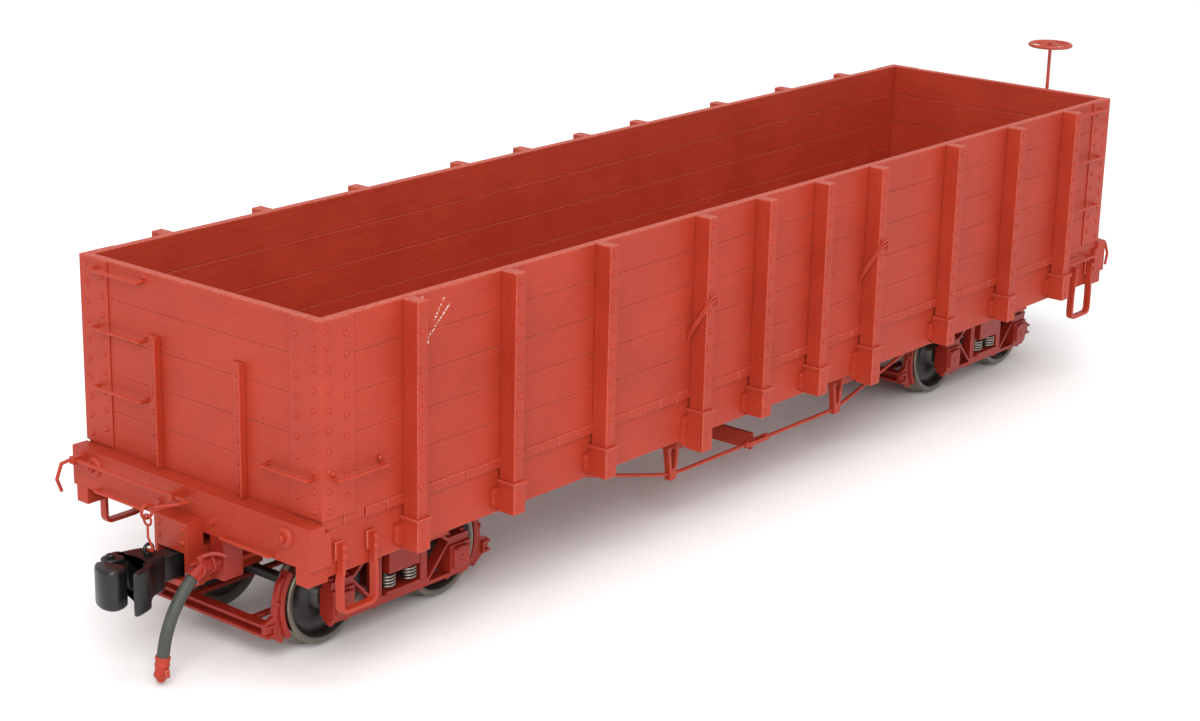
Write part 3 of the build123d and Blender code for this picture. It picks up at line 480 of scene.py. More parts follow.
# ------------------------------------------------------------------ floor boards
# The floor is laid crosswise, board against board, on top of the sills, and its ends show as a row
# of small blocks between the stakes. Tongues in the joints keep the floor closed.
random = np.random.default_rng(20)
deck_low, deck_high = np.array(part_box("floor_deck"))
deck_board = 8.9 * mm
deck_count = round((deck_high[0] - deck_low[0]) / deck_board)
deck_joints = np.linspace(deck_low[0], deck_high[0], deck_count + 1)
deck_gap = 0.12 * mm
deck_corners = np.empty((deck_count, 2, 3))
deck_corners[:, 0] = deck_low
deck_corners[:, 1] = deck_high
deck_corners[:, 0, 0] = deck_joints[:-1] + deck_gap
deck_corners[:, 1, 0] = deck_joints[1:] - deck_gap
deck_corners[:, 1, 2] -= random.uniform(0, 0.12, deck_count) * mm
between_plates = np.abs((deck_joints[:-1] + deck_joints[1:]) / 2) < deck_high[0] - 14.5 * mm
deck_proud = np.where(between_plates, 0.5 * mm, 0.0)[:, None]
deck_proud = deck_proud + random.uniform(-0.1, 0.02, (deck_count, 1)) * mm
deck_corners[:, :, 1] += deck_proud * (-1, 1)
tongues = np.array(((deck_low + (1 * mm, 1 * mm, 0.4 * mm), deck_high - (1 * mm, 1 * mm, 0.8 * mm)),))
deck_corners = np.concatenate((deck_corners, tongues))
place(blocks("floor_boards", deck_corners, 0.28 * mm), "floor_deck", material=wood_y)

# ------------------------------------------------------------------ side and end boards
# Five wide boards make each wall, tongue to groove, with a V where they meet on both faces. The
# sides run the full length; the ends fit between them. Every board is one rounded block.
board_rows = 5
seam = 0.035 * mm
wall_base = deck_high[2]


def wall_boards(name, node, low=None, high=None):
    """Split a wall's box into its boards, with an eased edge along every joint."""
    low_corner, high_corner = np.array(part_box(node))
    low_corner = low_corner if low is None else np.array(low)
    high_corner = high_corner if high is None else np.array(high)
    levels = np.linspace(wall_base, high_corner[2], board_rows + 1)
    corners = np.empty((board_rows, 2, 3))
    corners[:, 0], corners[:, 1] = low_corner, high_corner
    corners[:, 0, 2], corners[:, 1, 2] = levels[:-1] + seam, levels[1:] - seam
    corners[0, 0, 2], corners[-1, 1, 2] = low_corner[2], high_corner[2]
    return blocks(name, corners, 0.27 * mm, 3)


for side in ("left", "right"):
    node = "side_boards_" + side
    place(wall_boards("boards_" + side, node), node, material=wood_x if side == "left" else wood_scuffed)
end_low, end_high = np.array(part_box("end_boards"))
wall = 2.75 * mm
ends = [wall_boards("boards_end_a", "end_boards", end_low, (end_low[0] + wall, end_high[1], end_high[2])),
        wall_boards("boards_end_b", "end_boards", (end_high[0] - wall, end_low[1], end_low[2]), end_high)]
place(joined("boards_ends", ends), "end_boards", material=wood_y)

# ------------------------------------------------------------------ corner plates
# A thin plate is folded round each corner of the box and fastened through the boards by two
# staggered columns of round-headed bolts on each leg.
def eased(node, material=cast_red, slot="car_red", width=0.25 * mm, steps=2):
    """A copy of a CAD node with its triangles merged into whole faces and a narrow round along every
    sharp edge. It stands for the node."""
    source = frame["nodes"][node]
    work = bmesh.new()
    work.from_mesh(source.data)
    bmesh.ops.remove_doubles(work, verts=work.verts, dist=1e-6)
    bmesh.ops.dissolve_limit(work, angle_limit=math.radians(1.0), verts=work.verts, edges=work.edges)
    mesh = bpy.data.meshes.new(node + "_eased")
    work.to_mesh(mesh)
    work.free()
    piece = bpy.data.objects.new(node + "_eased", mesh)
    bpy.context.scene.collection.objects.link(piece)
    soften(piece, width, steps)
    return place(piece, node, body=source["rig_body"], material=material, slot=slot)


def soften(piece, width, steps=2):
    """Round the sharp edges of a piece, and shade it smooth between them."""
    mesh = piece.data
    mesh.materials.clear()
    mesh.shade_smooth()
    mesh.set_sharp_from_angle(angle=math.radians(38))
    bevel = piece.modifiers.new("bevel", "BEVEL")
    bevel.limit_method = "ANGLE"
    bevel.angle_limit = math.radians(38)
    bevel.width = width
    bevel.segments = steps
    bevel.harden_normals = True
    return piece


eased("corner_plates", width=0.2 * mm)
plate_low, plate_high = np.array(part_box("corner_plates"))
dome_radii = np.array((0.0, 0.45, 0.85, 1.0, 1.0, 0.0))
dome_heights = np.array((1.0, 0.9, 0.55, 0.15, -0.15, -0.15))


def domes(name, centers, directions, radius, height):
    """Round bolt heads: ring radii 0 to 1 times radius, heights 1 to 0 times height."""
    return skin(name, turned(centers, directions, dome_radii * radius, dome_heights * height, 12), sharp=60)


bolt_radius, bolt_height = 0.95 * mm, 0.6 * mm
plate_rows = np.linspace(plate_low[2] + 2.6 * mm, plate_high[2] - 2.6 * mm, 10)
columns = np.array((3.2, 10.6)) * mm
stagger = (plate_rows[1] - plate_rows[0]) * np.array((0.0, 0.5))
plate_bolts, plate_facing = [], []
for sign_x in (-1, 1):
    for sign_y in (-1, 1):
        for column, shift in zip(columns, stagger):
            rows = plate_rows[: 9 if shift else 10] + shift
            along_side = np.stack((0 * rows + sign_x * (plate_high[0] - column), 0 * rows
                                   + sign_y * plate_high[1], rows), axis=1)
            along_end = np.stack((0 * rows + sign_x * plate_high[0], 0 * rows
                                  + sign_y * (plate_high[1] - column), rows), axis=1)
            plate_bolts += [along_side, along_end]
            plate_facing += [np.tile((0, sign_y, 0), (len(rows), 1)),
                             np.tile((sign_x, 0, 0), (len(rows), 1))]
place(domes("corner_bolts", np.vstack(plate_bolts), np.vstack(plate_facing), bolt_radius, bolt_height))

# ------------------------------------------------------------------ side stakes
# Ten square oak posts hold each side upright. Each stands in a cast pocket on the sill and is
# bolted to every board, so a column of bolt heads runs down its outer face.
stake_low, stake_high = np.array(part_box("side_stakes"))
stake_places = np.array((17.8, 53.0, 106.3, 152.5, 197.0)) * mm
stake_places = np.sort(np.concatenate((-stake_places, stake_places)))
stake_half, stake_depth = 2.25 * mm, 6.4 * mm
deep_place = 53.0 * mm
deep = np.abs(np.abs(stake_places) - deep_place) < 0.1 * mm
stake_foot = np.where(deep, stake_low[2], stake_low[2] + 4.1 * mm)
stake_corners = []
for sign_y in (-1, 1):
    outer = sign_y * stake_high[1]
    inner = sign_y * (stake_high[1] - stake_depth)
    corners = np.empty((len(stake_places), 2, 3))
    corners[:, 0] = np.stack((stake_places - stake_half, 0 * stake_foot + inner, stake_foot), axis=1)
    corners[:, 1] = np.stack((stake_places + stake_half, 0 * stake_foot + outer, 0 * stake_foot
                              + stake_high[2]), axis=1)
    stake_corners.append(corners)
place(blocks("stakes", np.concatenate(stake_corners), 0.35 * mm, 3), "side_stakes", material=wood_z)

board_height = (plate_high[2] - plate_low[2]) / board_rows
stake_rows = (plate_low[2] + board_height * (np.arange(board_rows)[:, None] + (0.24, 0.74))).ravel()
grid_x, grid_z = np.meshgrid(stake_places, stake_rows)
zigzag = 0.45 * mm * (np.arange(len(stake_rows)) % 2 * 2 - 1)[:, None] + 0 * grid_x
stake_bolts, stake_facing = [], []
for sign_y in (-1, 1):
    stake_bolts.append(np.stack(((grid_x + zigzag).ravel(), 0 * grid_x.ravel() + sign_y * stake_high[1],
                                 grid_z.ravel()), axis=1))
    stake_facing.append(np.tile((0, sign_y, 0), (grid_x.size, 1)))
place(domes("stake_bolts", np.vstack(stake_bolts), np.vstack(stake_facing), 1.0 * mm, 0.62 * mm))

# ------------------------------------------------------------------ stake pockets
# Each pocket is an iron casting bolted to the sill's face: a square socket, a raised lip round its
# mouth, and a thin ear at each side whose lower corner is cut off, with two bolts through it.
pocket_low, pocket_high = np.array(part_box("stake_pockets"))
sill_low, sill_high = np.array(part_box("side_sills"))
socket_half, ear_half = stake_half + 0.6 * mm, stake_half + 4.0 * mm
pocket_foot = np.where(deep, pocket_low[2], pocket_low[2] + 4.1 * mm)
lip = 1.2 * mm
socket_face = pocket_high[1] - 0.5 * mm


def outline_prism(outlines, y_back, y_front):
    """Plates of one outline each, (copies, points, 2) in x and z, standing between two planes of y."""
    outlines = np.asarray(outlines, float)
    back = np.insert(outlines, 1, y_back, axis=-1)
    front = np.insert(outlines, 1, y_front, axis=-1)
    return np.stack((back, front), axis=1)


pocket_pieces = []
for sign_y in (-1, 1):
    face = sign_y * sill_high[1]
    wall_back = np.tile((face,), len(stake_places))
    socket = np.empty((len(stake_places), 2, 3))
    socket[:, 0] = np.stack((stake_places - socket_half, wall_back, pocket_foot), axis=1)
    socket[:, 1] = np.stack((stake_places + socket_half, 0 * wall_back + sign_y * socket_face, 0 * wall_back
                             + pocket_high[2] - 0.2 * mm), axis=1)
    rim = np.empty_like(socket)
    rim[:, 0] = np.stack((stake_places - socket_half - 0.5 * mm, wall_back, 0 * wall_back
                          + pocket_high[2] - lip), axis=1)
    rim[:, 1] = np.stack((stake_places + socket_half + 0.5 * mm, 0 * wall_back + sign_y * pocket_high[1],
                          0 * wall_back + pocket_high[2]), axis=1)
    pocket_pieces.append(blocks("sockets", np.concatenate((socket, rim)), 0.3 * mm, 2))
    top, low = pocket_high[2] - 2.6 * mm, pocket_foot + 1.4 * mm
    bite = 1.5 * mm
    ears = []
    for x, z in zip(stake_places, low):
        ears.append([(x - ear_half, top), (x + ear_half, top), (x + ear_half, z + bite),
                     (x + ear_half - bite, z), (x - ear_half + bite, z), (x - ear_half, z + bite)])
    pocket_pieces.append(skin("ears", outline_prism(ears, face, face + sign_y * 1.0 * mm), lidded=True,
                              sharp=20))
    heads = [(x + shift, face + sign_y * 1.0 * mm, z + rise) for x, z in zip(stake_places, pocket_foot)
             for shift, rise in ((-5.2 * mm, 7.4 * mm), (5.2 * mm, 7.4 * mm), (5.2 * mm, 4.0 * mm),
                                 (-5.2 * mm, 4.0 * mm))]
    pocket_pieces.append(domes("ear_bolts", heads, [(0, sign_y, 0)], 0.62 * mm, 0.42 * mm))
    front = [(x, sign_y * socket_face, z + rise) for x, z in zip(stake_places, pocket_foot)
             for rise in (2.2 * mm, 6.8 * mm)]
    pocket_pieces.append(domes("socket_bolts", front, [(0, sign_y, 0)], 0.78 * mm, 0.45 * mm))
place(joined("pockets", pocket_pieces), "stake_pockets")

# ------------------------------------------------------------------ end stakes
# Two rolled angles stiffen each end: one flange lies flat on the boards and is bolted to them, and
# the other stands straight out.
def nuts(name, centers, directions, radius, height):
    """Hexagon nuts with a chamfered top."""
    return skin(name, turned(centers, directions, np.array((0, 1, 1, 0.86, 0)) * radius,
                             np.array((0, 0, 0.8, 1, 1)) * height, 6), sharp=20)


eased("end_stakes")
stake_base, stake_tip = np.array(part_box("end_stakes"))
end_rows = np.linspace(stake_base[2] + 4 * mm, stake_tip[2] - 4 * mm, 6)
flange_face, flange_middle, end_stake_offset = 234.5 * mm, 0.9 * mm, 19.5 * mm
end_bolts = [(-sign * flange_face, sign * (offset + flange_middle), z) for sign in (1, -1)
             for offset in (end_stake_offset, -end_stake_offset) for z in end_rows]
end_facing = [(-sign, 0, 0) for sign in (1, -1) for offset in range(2) for z in end_rows]
place(domes("end_stake_bolts", end_bolts, end_facing, 0.85 * mm, 0.55 * mm))

# ------------------------------------------------------------------ sills and cross beams
# Long timbers carry the floor: two side sills and four inner ones between the end sills, with
# blocks under the corners, and plank beams across below them over the trucks and queen posts.
sill_width = 8.0 * mm
sill_corners = [((sill_low[0], sign * sill_high[1], sill_low[2]),
                 (sill_high[0], sign * (sill_high[1] - sill_width), sill_high[2])) for sign in (-1, 1)]
place(blocks("sills_side", sill_corners, 0.35 * mm, 3), "side_sills", material=wood_x)
for node, material in (("center_sills", wood_x), ("end_sills", wood_y), ("sill_blocks", wood_y),
                       ("body_bolsters", wood_y), ("needle_beams", wood_y), ("turnbuckle_board", wood_y),
                       ("queen_posts", cast_red), ("brake_cylinder", cast_red), ("train_pipe", cast_red)):
    eased(node, material)

# ------------------------------------------------------------------ truss rods
# Four round rods run the length of the car under its floor, drawn down over the queen posts and
# tightened by turnbuckles in the middle. The outer two end in nuts on big cast washers.
beam_front = max(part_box("end_sills")[1].x, -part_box("end_sills")[0].x)
rod_top, rod_low = 51.8 * mm, 21.8 * mm
bend_at, post_at, rod_radius = 167.6 * mm, 51.5 * mm, 0.7 * mm
rod_pieces = []
for offset, end_at in ((44.7 * mm, beam_front + 3.0 * mm), (18.5 * mm, beam_front - 1.0 * mm)):
    for y in (-offset, offset):
        line = smooth_path([(-end_at, y, rod_top), (-bend_at, y, rod_top), (-post_at, y, rod_low),
                            (post_at, y, rod_low), (bend_at, y, rod_top), (end_at, y, rod_top)], 7 * mm)
        rod_pieces.append(skin("rod", tube(line, rod_radius, (0, 1, 0), 12)))
        for sign in (-1, 1):
            rod_pieces.append(lathed("turnbuckle_end", [(sign * 7.25 * mm, y, rod_low)], [(-sign, 0, 0)],
                                     ((0, 0), (1.05, 0), (1.3, 0.3), (1.45, 2.0), (1.1, 2.6), (0, 2.6))))
        bars = [((-5.2 * mm, y + side * 0.75 * mm, rod_low - 0.8 * mm),
                 (5.2 * mm, y + side * 1.6 * mm, rod_low + 0.8 * mm)) for side in (-1, 1)]
        rod_pieces.append(blocks("turnbuckle_bars", bars, 0.3 * mm))
seats = [(sign * beam_front, y, rod_top) for sign in (-1, 1) for y in (-44.7 * mm, 44.7 * mm)]
outward = [(sign, 0, 0) for sign in (-1, 1) for row in range(2)]
washer = lathed("washers", seats, outward,
                ((0, -0.1), (3.4, -0.1), (3.35, 0.3), (2.9, 0.9), (1.9, 1.2), (0, 1.2)), 32, sharp=50)
caps = nuts("rod_nuts", np.array(seats) + np.array(outward) * 1.2 * mm, outward, 1.65 * mm, 1.5 * mm)
place(joined("truss_rod_set", rod_pieces + [washer, caps]), "truss_rods", "truss_rod_slopes")
draft_bolts = [(sign * beam_front, y, 48.5 * mm) for sign in (-1, 1) for y in (-12.4 * mm, 12.4 * mm)]
draft_washers = lathed("draft_washers", draft_bolts, outward,
                       ((0, -0.1), (1.5, -0.1), (1.4, 0.35), (1.0, 0.5), (0, 0.5)), 20, sharp=50)
draft_seats = np.array(draft_bolts) + np.array(outward) * 0.5 * mm
draft_heads = nuts("draft_heads", draft_seats, outward, 1.05 * mm, 0.9 * mm)
place(joined("draft_bolt_set", [draft_washers, draft_heads]))

# ------------------------------------------------------------------ draft pockets and air line
# A cast striker on each end sill guides the coupler's shank. Beside it the angle cock, a thick bent
# casting held by strap rings to its bracket, turns the train pipe down to the hose.
eased("draft_pockets", width=0.4 * mm)
striker_face = 246.5 * mm
striker_bolts, striker_facing = [], []
for sign in (-1, 1):
    for y in (-5.5 * mm, 5.5 * mm):
        for z in (41.2 * mm, 45.4 * mm):
            striker_bolts.append((sign * striker_face, y, z))
            striker_facing.append((sign, 0, 0))
place(domes("striker_bolts", striker_bolts, striker_facing, 1.0 * mm, 0.6 * mm))
eased("angle_cocks", truck_red, width=0.3 * mm)


def hoops(name, centers, axes, big, small, around=28, sides=10):
    """Rings: point = centre + (R + r cos v)(p cos u + q sin u) + r a sin v, about the axis a."""
    grids = []
    for center, axis in zip(np.atleast_2d(centers), np.atleast_2d(axes)):
        circle = turned([center], [axis], [big], [0.0], around)[0, 0]
        out = (circle - center) / big
        v = np.linspace(0, 2 * np.pi, sides, endpoint=False)[:, None]
        ring = circle[:, None] + small * (np.cos(v) * out[:, None] + np.sin(v) * np.asarray(axis, float))
        grids.append(np.concatenate((ring, ring[:1])))
    return skin(name, np.array(grids))


cock_pieces = []
for end in "ab":
    line = smooth_path(at_end([(-233.0, -13.2, 34.6), (-240.0, -13.2, 35.6), (-245.5, -13.2, 35.2),
                               (-249.6, -13.3, 32.4)], end), 4 * mm)
    cock_pieces.append(skin("cock_body", tube(line, np.linspace(2.3, 2.75, len(line)) * mm, (0, 1, 0), 20)))
    rings = (((-238.4, -13.2, 35.3), (-1, 0, 0.1), 2.7), ((-242.6, -13.2, 35.6), (-1, 0, 0), 2.8),
             ((-247.0, -13.25, 34.4), (-1, 0, 0.6), 2.9))
    for spot, lean, size in rings:
        axis = at_end([lean], end)
        cock_pieces.append(hoops("strap_ring", at_end([spot], end), axis / np.linalg.norm(axis), size * mm,
                                 0.55 * mm))
    grip = smooth_path(at_end([(-246.2, -13.2, 38.4), (-242.4, -15.6, 39.6), (-239.9, -18.6, 38.6)], end),
                       3 * mm)
    cock_pieces.append(skin("cock_handle", tube(grip, 0.75 * mm, (0, 0, 1), 12)))
    cock_pieces.append(lathed("cock_plug", at_end([(-246.2, -13.2, 36.6)], end), [(0, 0, 1)],
                              ((0, 0), (1.3, 0), (1.3, 1.9), (0.9, 2.4), (0, 2.4))))
place(joined("cock_castings", cock_pieces), material=truck_red)

# ------------------------------------------------------------------ grab irons, steps and levers
# Round iron rods, bent at both ends and bolted through the boards, make the ladders and handholds.
# The steps are flat strap, and the uncoupling lever lies in two eye brackets on the end sill.
for node in ("grab_irons", "lift_levers", "chain_a", "chain_b"):
    eased(node, width=0.1 * mm)
side_face, plate_face, end_face = 54.7, 55.2, 233.6
side_rungs, end_rungs, handhold = (118.2, 97.7, 76.8), (118.3, 99.1, 79.3), 72.0
feet = [((x, side_face, z), (0, 1, 0)) for z in side_rungs for x in (-226.0, -204.0)]
feet += [((x, -plate_face, handhold), (0, -1, 0)) for x in (-229.5, -209.5)]
feet += [((-end_face, y, z), (-1, 0, 0)) for z in end_rungs for y in (24.0, 47.0)]
feet += [((-end_face, y, handhold), (-1, 0, 0)) for y in (-51.2, -31.4)]
both_ends = np.array(((1, 1, 1), (-1, -1, 1)))[:, None]
foot_spots, foot_facing = (np.array([foot[part] for foot in feet]) * both_ends for part in (0, 1))
place(domes("grab_feet", foot_spots.reshape(-1, 3) * mm, foot_facing.reshape(-1, 3), 0.95 * mm, 0.7 * mm))


def strap(path, thick, wide, across):
    """A flat bar along a path: the four corners of its section ride on the path's own normal, which is
    square to 'across'. Its ends are closed flat."""
    path = np.asarray(path, float)
    tangent = np.gradient(path, axis=0)
    tangent /= np.linalg.norm(tangent, axis=1, keepdims=True)
    across = np.asarray(across, float)
    normal = np.cross(across, tangent)
    corners = np.array(((1, 1), (-1, 1), (-1, -1), (1, -1))) / 2
    return path[:, None] + normal[:, None] * corners[:, :1] * thick + across * corners[:, 1:] * wide


step_middle, step_face, step_back, step_front, step_tread = 55.7, 57.15, -226.8, -213.4, 26.7
step_pieces = []
step_bolts, step_facing = [], []
for end in "ab":
    for sign_y in (-1, 1):
        y = sign_y * step_middle
        bends = [(step_back, y, 49.4), (step_back, y, 40.5), (step_back - 0.8, y, 38.0),
                 (step_back - 0.8, y, step_tread), (step_front + 0.4, y, step_tread),
                 (step_front + 0.4, y, 38.0), (step_front, y, 40.5), (step_front, y, 49.4)]
        line = smooth_path(at_end(bends, end), 2.6 * mm)
        step_pieces.append(soften(skin("step", strap(line, 1.3 * mm, 2.9 * mm, (0, 1, 0)), lidded=True),
                                  0.3 * mm))
        pads = []
        for x in (step_back, step_front):
            corners = at_end([(x - 1.9, sign_y * 54.1, 43.6), (x + 1.9, sign_y * 55.1, 49.6)], end)
            pads.append(corners)
            for z in (45.1, 48.1):
                step_bolts.append(at_end([(x, sign_y * step_face, z)], end)[0])
                step_facing.append((0, sign_y * (-1 if end == "b" else 1), 0))
        step_pieces.append(blocks("pads", pads, 0.3 * mm))
step_pieces.append(domes("step_bolts", step_bolts, step_facing, 1.15 * mm, 0.75 * mm))
place(joined("steps", step_pieces), "stirrup_steps")

# ------------------------------------------------------------------ stake hooks
# A thin bent rod is sprung across the two deep-pocketed stakes of each side, its top end hooked over.
hook_pieces = []
for sign in (1, -1):
    turn = np.array((sign, sign, 1))
    for x in (-53.0, 53.0):
        for shift in (0.0, 1.5):
            path = np.array(((x - 4.8, -54.9, 77.5 - shift), (x - 4.6, -57.4, 82.0 - shift),
                             (x - 1.0, -62.2, 92.0 - shift), (x + 2.4, -62.3, 92.4 - shift),
                             (x + 2.7, -61.4, 89.4 - shift))) * turn * mm
            hook_pieces.append(skin("hook", tube(smooth_path(path, 2.0 * mm), 0.42 * mm, (0.3, 0.9, 0.1),
                                                 10)))
place(joined("stake_hooks", hook_pieces))

# ------------------------------------------------------------------ hand brake
# An upright staff on end b carries a five-spoked iron wheel above the boards. Its foot stands on the
# end sill in a small cast step.
eased("brake_staff", width=0.2 * mm)
eased("brake_wheel", width=0.1 * mm)
wheel_low, wheel_high = np.array(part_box("brake_wheel"))
wheel_top = [(*(wheel_low + wheel_high)[:2] / 2, wheel_high[2] - 0.4 * mm)]
place(nuts("brake_wheel_nut", wheel_top, [(0, 0, 1)], 1.2 * mm, 1.1 * mm))


# ------------------------------------------------------------------ couplers
# Black cast knuckle couplers. The knuckle is one heavy rounded casting on a pin between the head's
# ears; the guard arm beside it flares; an eye stands on top for the lock pin's chain.
def blackened(name, low, high, bare):
    """Chemically blackened iron: near black, uneven, polished to bare metal where 'edge' is 1."""
    finish = Finish(name)
    cloud = finish.stretch((260, 260, 260), 5.0)
    worn = finish.add("ShaderNodeAttribute", {"attribute_name": "edge"}, {}, "Fac")
    color = finish.blend(finish.ramp(cloud, (0.35, 0.0), (0.75, 1.0)), low, high)
    color = finish.blend(worn * (0.65 + cloud * 0.35), color, bare)
    return finish.drive(Base_Color=color, Roughness=0.24 + cloud * 0.22, Metallic=worn * 0.9 + 0.1,
                        Normal=finish.bump(cloud, 0.16, 0.0002))


def rounded_loop(outline, steps=5):
    """A closed smooth line through corners: each stretch is a Catmull-Rom cubic of its four nearest."""
    p1 = np.asarray(outline, float)
    p0, p2, p3 = np.roll(p1, 1, 0), np.roll(p1, -1, 0), np.roll(p1, -2, 0)
    t = np.linspace(0, 1, steps, endpoint=False)[None, :, None]
    p0, p1, p2, p3 = (p[:, None] for p in (p0, p1, p2, p3))
    line = 0.5 * (2 * p1 + (p2 - p0) * t + (2 * p0 - 5 * p1 + 4 * p2 - p3) * t ** 2
                  + (3 * p1 - p0 - 3 * p2 + p3) * t ** 3)
    return line.reshape(-1, 2)


def pillow(outline, low, high, rounding, steps=4):
    """A slab with rounded rims: the outline is drawn in by r (1 - sin a) at r (1 - cos a) from each face."""
    outline = np.asarray(outline, float)
    ahead, behind = np.roll(outline, -1, 0) - outline, outline - np.roll(outline, 1, 0)
    edge = ahead / np.linalg.norm(ahead, axis=1, keepdims=True)
    edge = edge + behind / np.linalg.norm(behind, axis=1, keepdims=True)
    edge /= np.linalg.norm(edge, axis=1, keepdims=True)
    area = np.sum(outline[:, 0] * np.roll(outline[:, 1], -1) - outline[:, 1] * np.roll(outline[:, 0], -1))
    out = np.stack((edge[:, 1], -edge[:, 0]), axis=1) * np.sign(area)
    turn = np.linspace(0, np.pi / 2, steps)
    inset = rounding * np.concatenate((1 - np.sin(turn), (1 - np.sin(turn))[::-1]))
    level = np.concatenate((low + rounding * (1 - np.cos(turn)),
                            (high - rounding * (1 - np.cos(turn)))[::-1]))
    plan = outline[None] - out[None] * inset[:, None, None]
    return np.concatenate((plan, np.broadcast_to(level[:, None, None], plan.shape[:2] + (1,))), axis=-1)


coupler_iron = blackened("coupler_iron", (0.004, 0.004, 0.0045, 1), (0.012, 0.012, 0.013, 1),
                         (0.08, 0.08, 0.085, 1))
head_back, coupler_z = 258.5, 33.0
head_plan = ((-6.0, -4.0), (0.0, -6.2), (5.2, -9.9), (9.0, -10.6), (5.5, -7.2), (3.1, -3.4), (3.1, 2.0),
             (4.9, 3.4), (4.7, 7.3), (0.0, 7.0), (-6.0, 4.0))
guard_plan = ((3.4, -7.6), (5.0, -10.3), (10.6, -12.0), (12.0, -11.6), (11.6, -10.4), (6.4, -8.0),
              (4.4, -6.4))
ear_plan = ((2.5, 2.6), (9.2, 2.6), (10.3, 5.6), (8.7, 8.2), (2.5, 8.2))
hub_plan = ((6.1, 3.6), (9.1, 3.4), (9.5, 0.6), (12.0, -2.0), (13.6, 2.0), (12.1, 7.0), (7.9, 8.0),
            (5.7, 6.6))
nose_plan = ((11.9, 3.6), (10.4, 0.6), (8.9, -3.2), (10.3, -5.4), (14.1, -6.1), (16.4, -4.4), (17.0, -1.0),
             (15.7, 3.0), (13.3, 5.2))


def casting(name, plan, low, high, rounding, end):
    """A rounded slab of a coupler, from a plan counted outwards from the back of the head."""
    plan = np.asarray(plan, float)
    grid = pillow(rounded_loop(np.stack((-head_back - plan[:, 0], plan[:, 1]), axis=1)), coupler_z + low,
                  coupler_z + high, rounding)
    return skin(name, at_end(grid, end), lidded=True, sharp=50)


for end in "ab":
    shank = at_end([(-head_back - 0.5, -3.1, 28.65), (-218.9, 3.1, 37.35)], end)
    lug = at_end([(-257.6, -1.7, 38.4), (-254.8, -0.3, 40.2)], end)
    head = [casting("head", head_plan, -6.1, 6.1, 1.1, end),
            casting("guard", guard_plan, -7.4, 6.6, 0.7, end),
            casting("ear_top", ear_plan, 4.2, 6.1, 0.6, end),
            casting("ear_low", ear_plan, -6.1, -4.2, 0.6, end),
            blocks("shank", [shank], 0.7 * mm, 3), blocks("lug", [lug], 0.4 * mm, 3),
            hoops("lock_eye", at_end([(-256.2, -1.0, 40.7)], end), [(0, 1, 0)], 1.75 * mm, 0.55 * mm),
            lathed("pin", at_end([(-266.0, 5.4, 26.2)], end), [(0, 0, 1)],
                   ((0, 0), (0.9, 0), (0.9, 12.8), (1.5, 12.8), (1.5, 13.6), (1.1, 14.0), (0, 14.0)), 18)]
    place(joined("coupler_head_" + end, head), "coupler_" + end, body="coupler_" + end,
          material=coupler_iron, slot="coupler_black")
    knuckle = [casting("hub", hub_plan, -4.05, 4.05, 0.5, end),
               casting("nose", nose_plan, -6.7, 6.7, 1.3, end)]
    place(joined("coupler_knuckle_" + end, knuckle), "knuckle_" + end, body="knuckle_" + end,
          material=coupler_iron, slot="coupler_black")

# ------------------------------------------------------------------ wheels and axles
# Turned iron wheels with a flange inside, a deeply dished plate and a proud hub. Treads and flanges
# are polished bright by the rails; the rest is blackened.
wheel_iron = blackened("wheel_iron", (0.007, 0.0065, 0.006, 1), (0.026, 0.023, 0.02, 1),
                       (0.27, 0.245, 0.2, 1))
wheel_line = np.array(((1.9, 20.9), (5.0, 20.9), (5.6, 21.5), (9.5, 21.3), (13.0, 21.7), (13.65, 20.9),
                       (17.1, 20.9), (17.5, 21.1), (17.65, 21.5), (17.45, 22.0), (16.9, 22.3), (16.4, 22.6),
                       (16.2, 23.2), (16.1, 26.6), (15.8, 27.0), (14.3, 27.0), (13.9, 26.6), (13.4, 24.6),
                       (11.6, 23.3), (9.2, 23.0), (6.6, 23.6), (5.3, 24.9), (4.5, 27.3), (4.1, 27.7),
                       (1.9, 27.7), (1.9, 20.9))) * mm
polish = np.array((0, 0, 0, 0, 0, 0.2, 0.6, 1, 1, 1, 1, 1, 1, 1, 0.9, 0.35, 0.1, 0, 0, 0, 0, 0, 0.25, 0.25,
                   0.1, 0))
for end in "ab":
    for number in "12":
        middle = np.mean(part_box(f"wheels_{end}{number}"), axis=0)
        pair = []
        for sign in (-1, 1):
            grid = turned([middle], [(0, sign, 0)], wheel_line[:, 0], wheel_line[:, 1], 72)
            shine = np.broadcast_to(polish[None, :, None], grid.shape[:3])
            pair.append(skin("wheel", grid, edge=shine, sharp=50))
        place(joined(f"wheel_pair_{end}{number}", pair), f"wheels_{end}{number}",
              body=f"wheelset_{end}{number}", material=wheel_iron, slot="wheel_steel")
        eased(f"axle_{end}{number}", wheel_iron, "wheel_steel", 0.15 * mm)


# ------------------------------------------------------------------ trucks
# Each truck has forged arch bars bolted over cast oil boxes and columns, and a cast bolster on coil
# springs of round wire. All but the springs is painted.
def bare_spring():
    """Drawn steel wire, bright on its crown."""
    finish = Finish("spring_wire", Metallic=1.0)
    cloud = finish.stretch((700, 700, 700), 3.0)
    color = finish.blend(cloud, (0.16, 0.145, 0.12, 1), (0.46, 0.43, 0.37, 1))
    return finish.drive(Base_Color=color, Roughness=0.24 + cloud * 0.2)


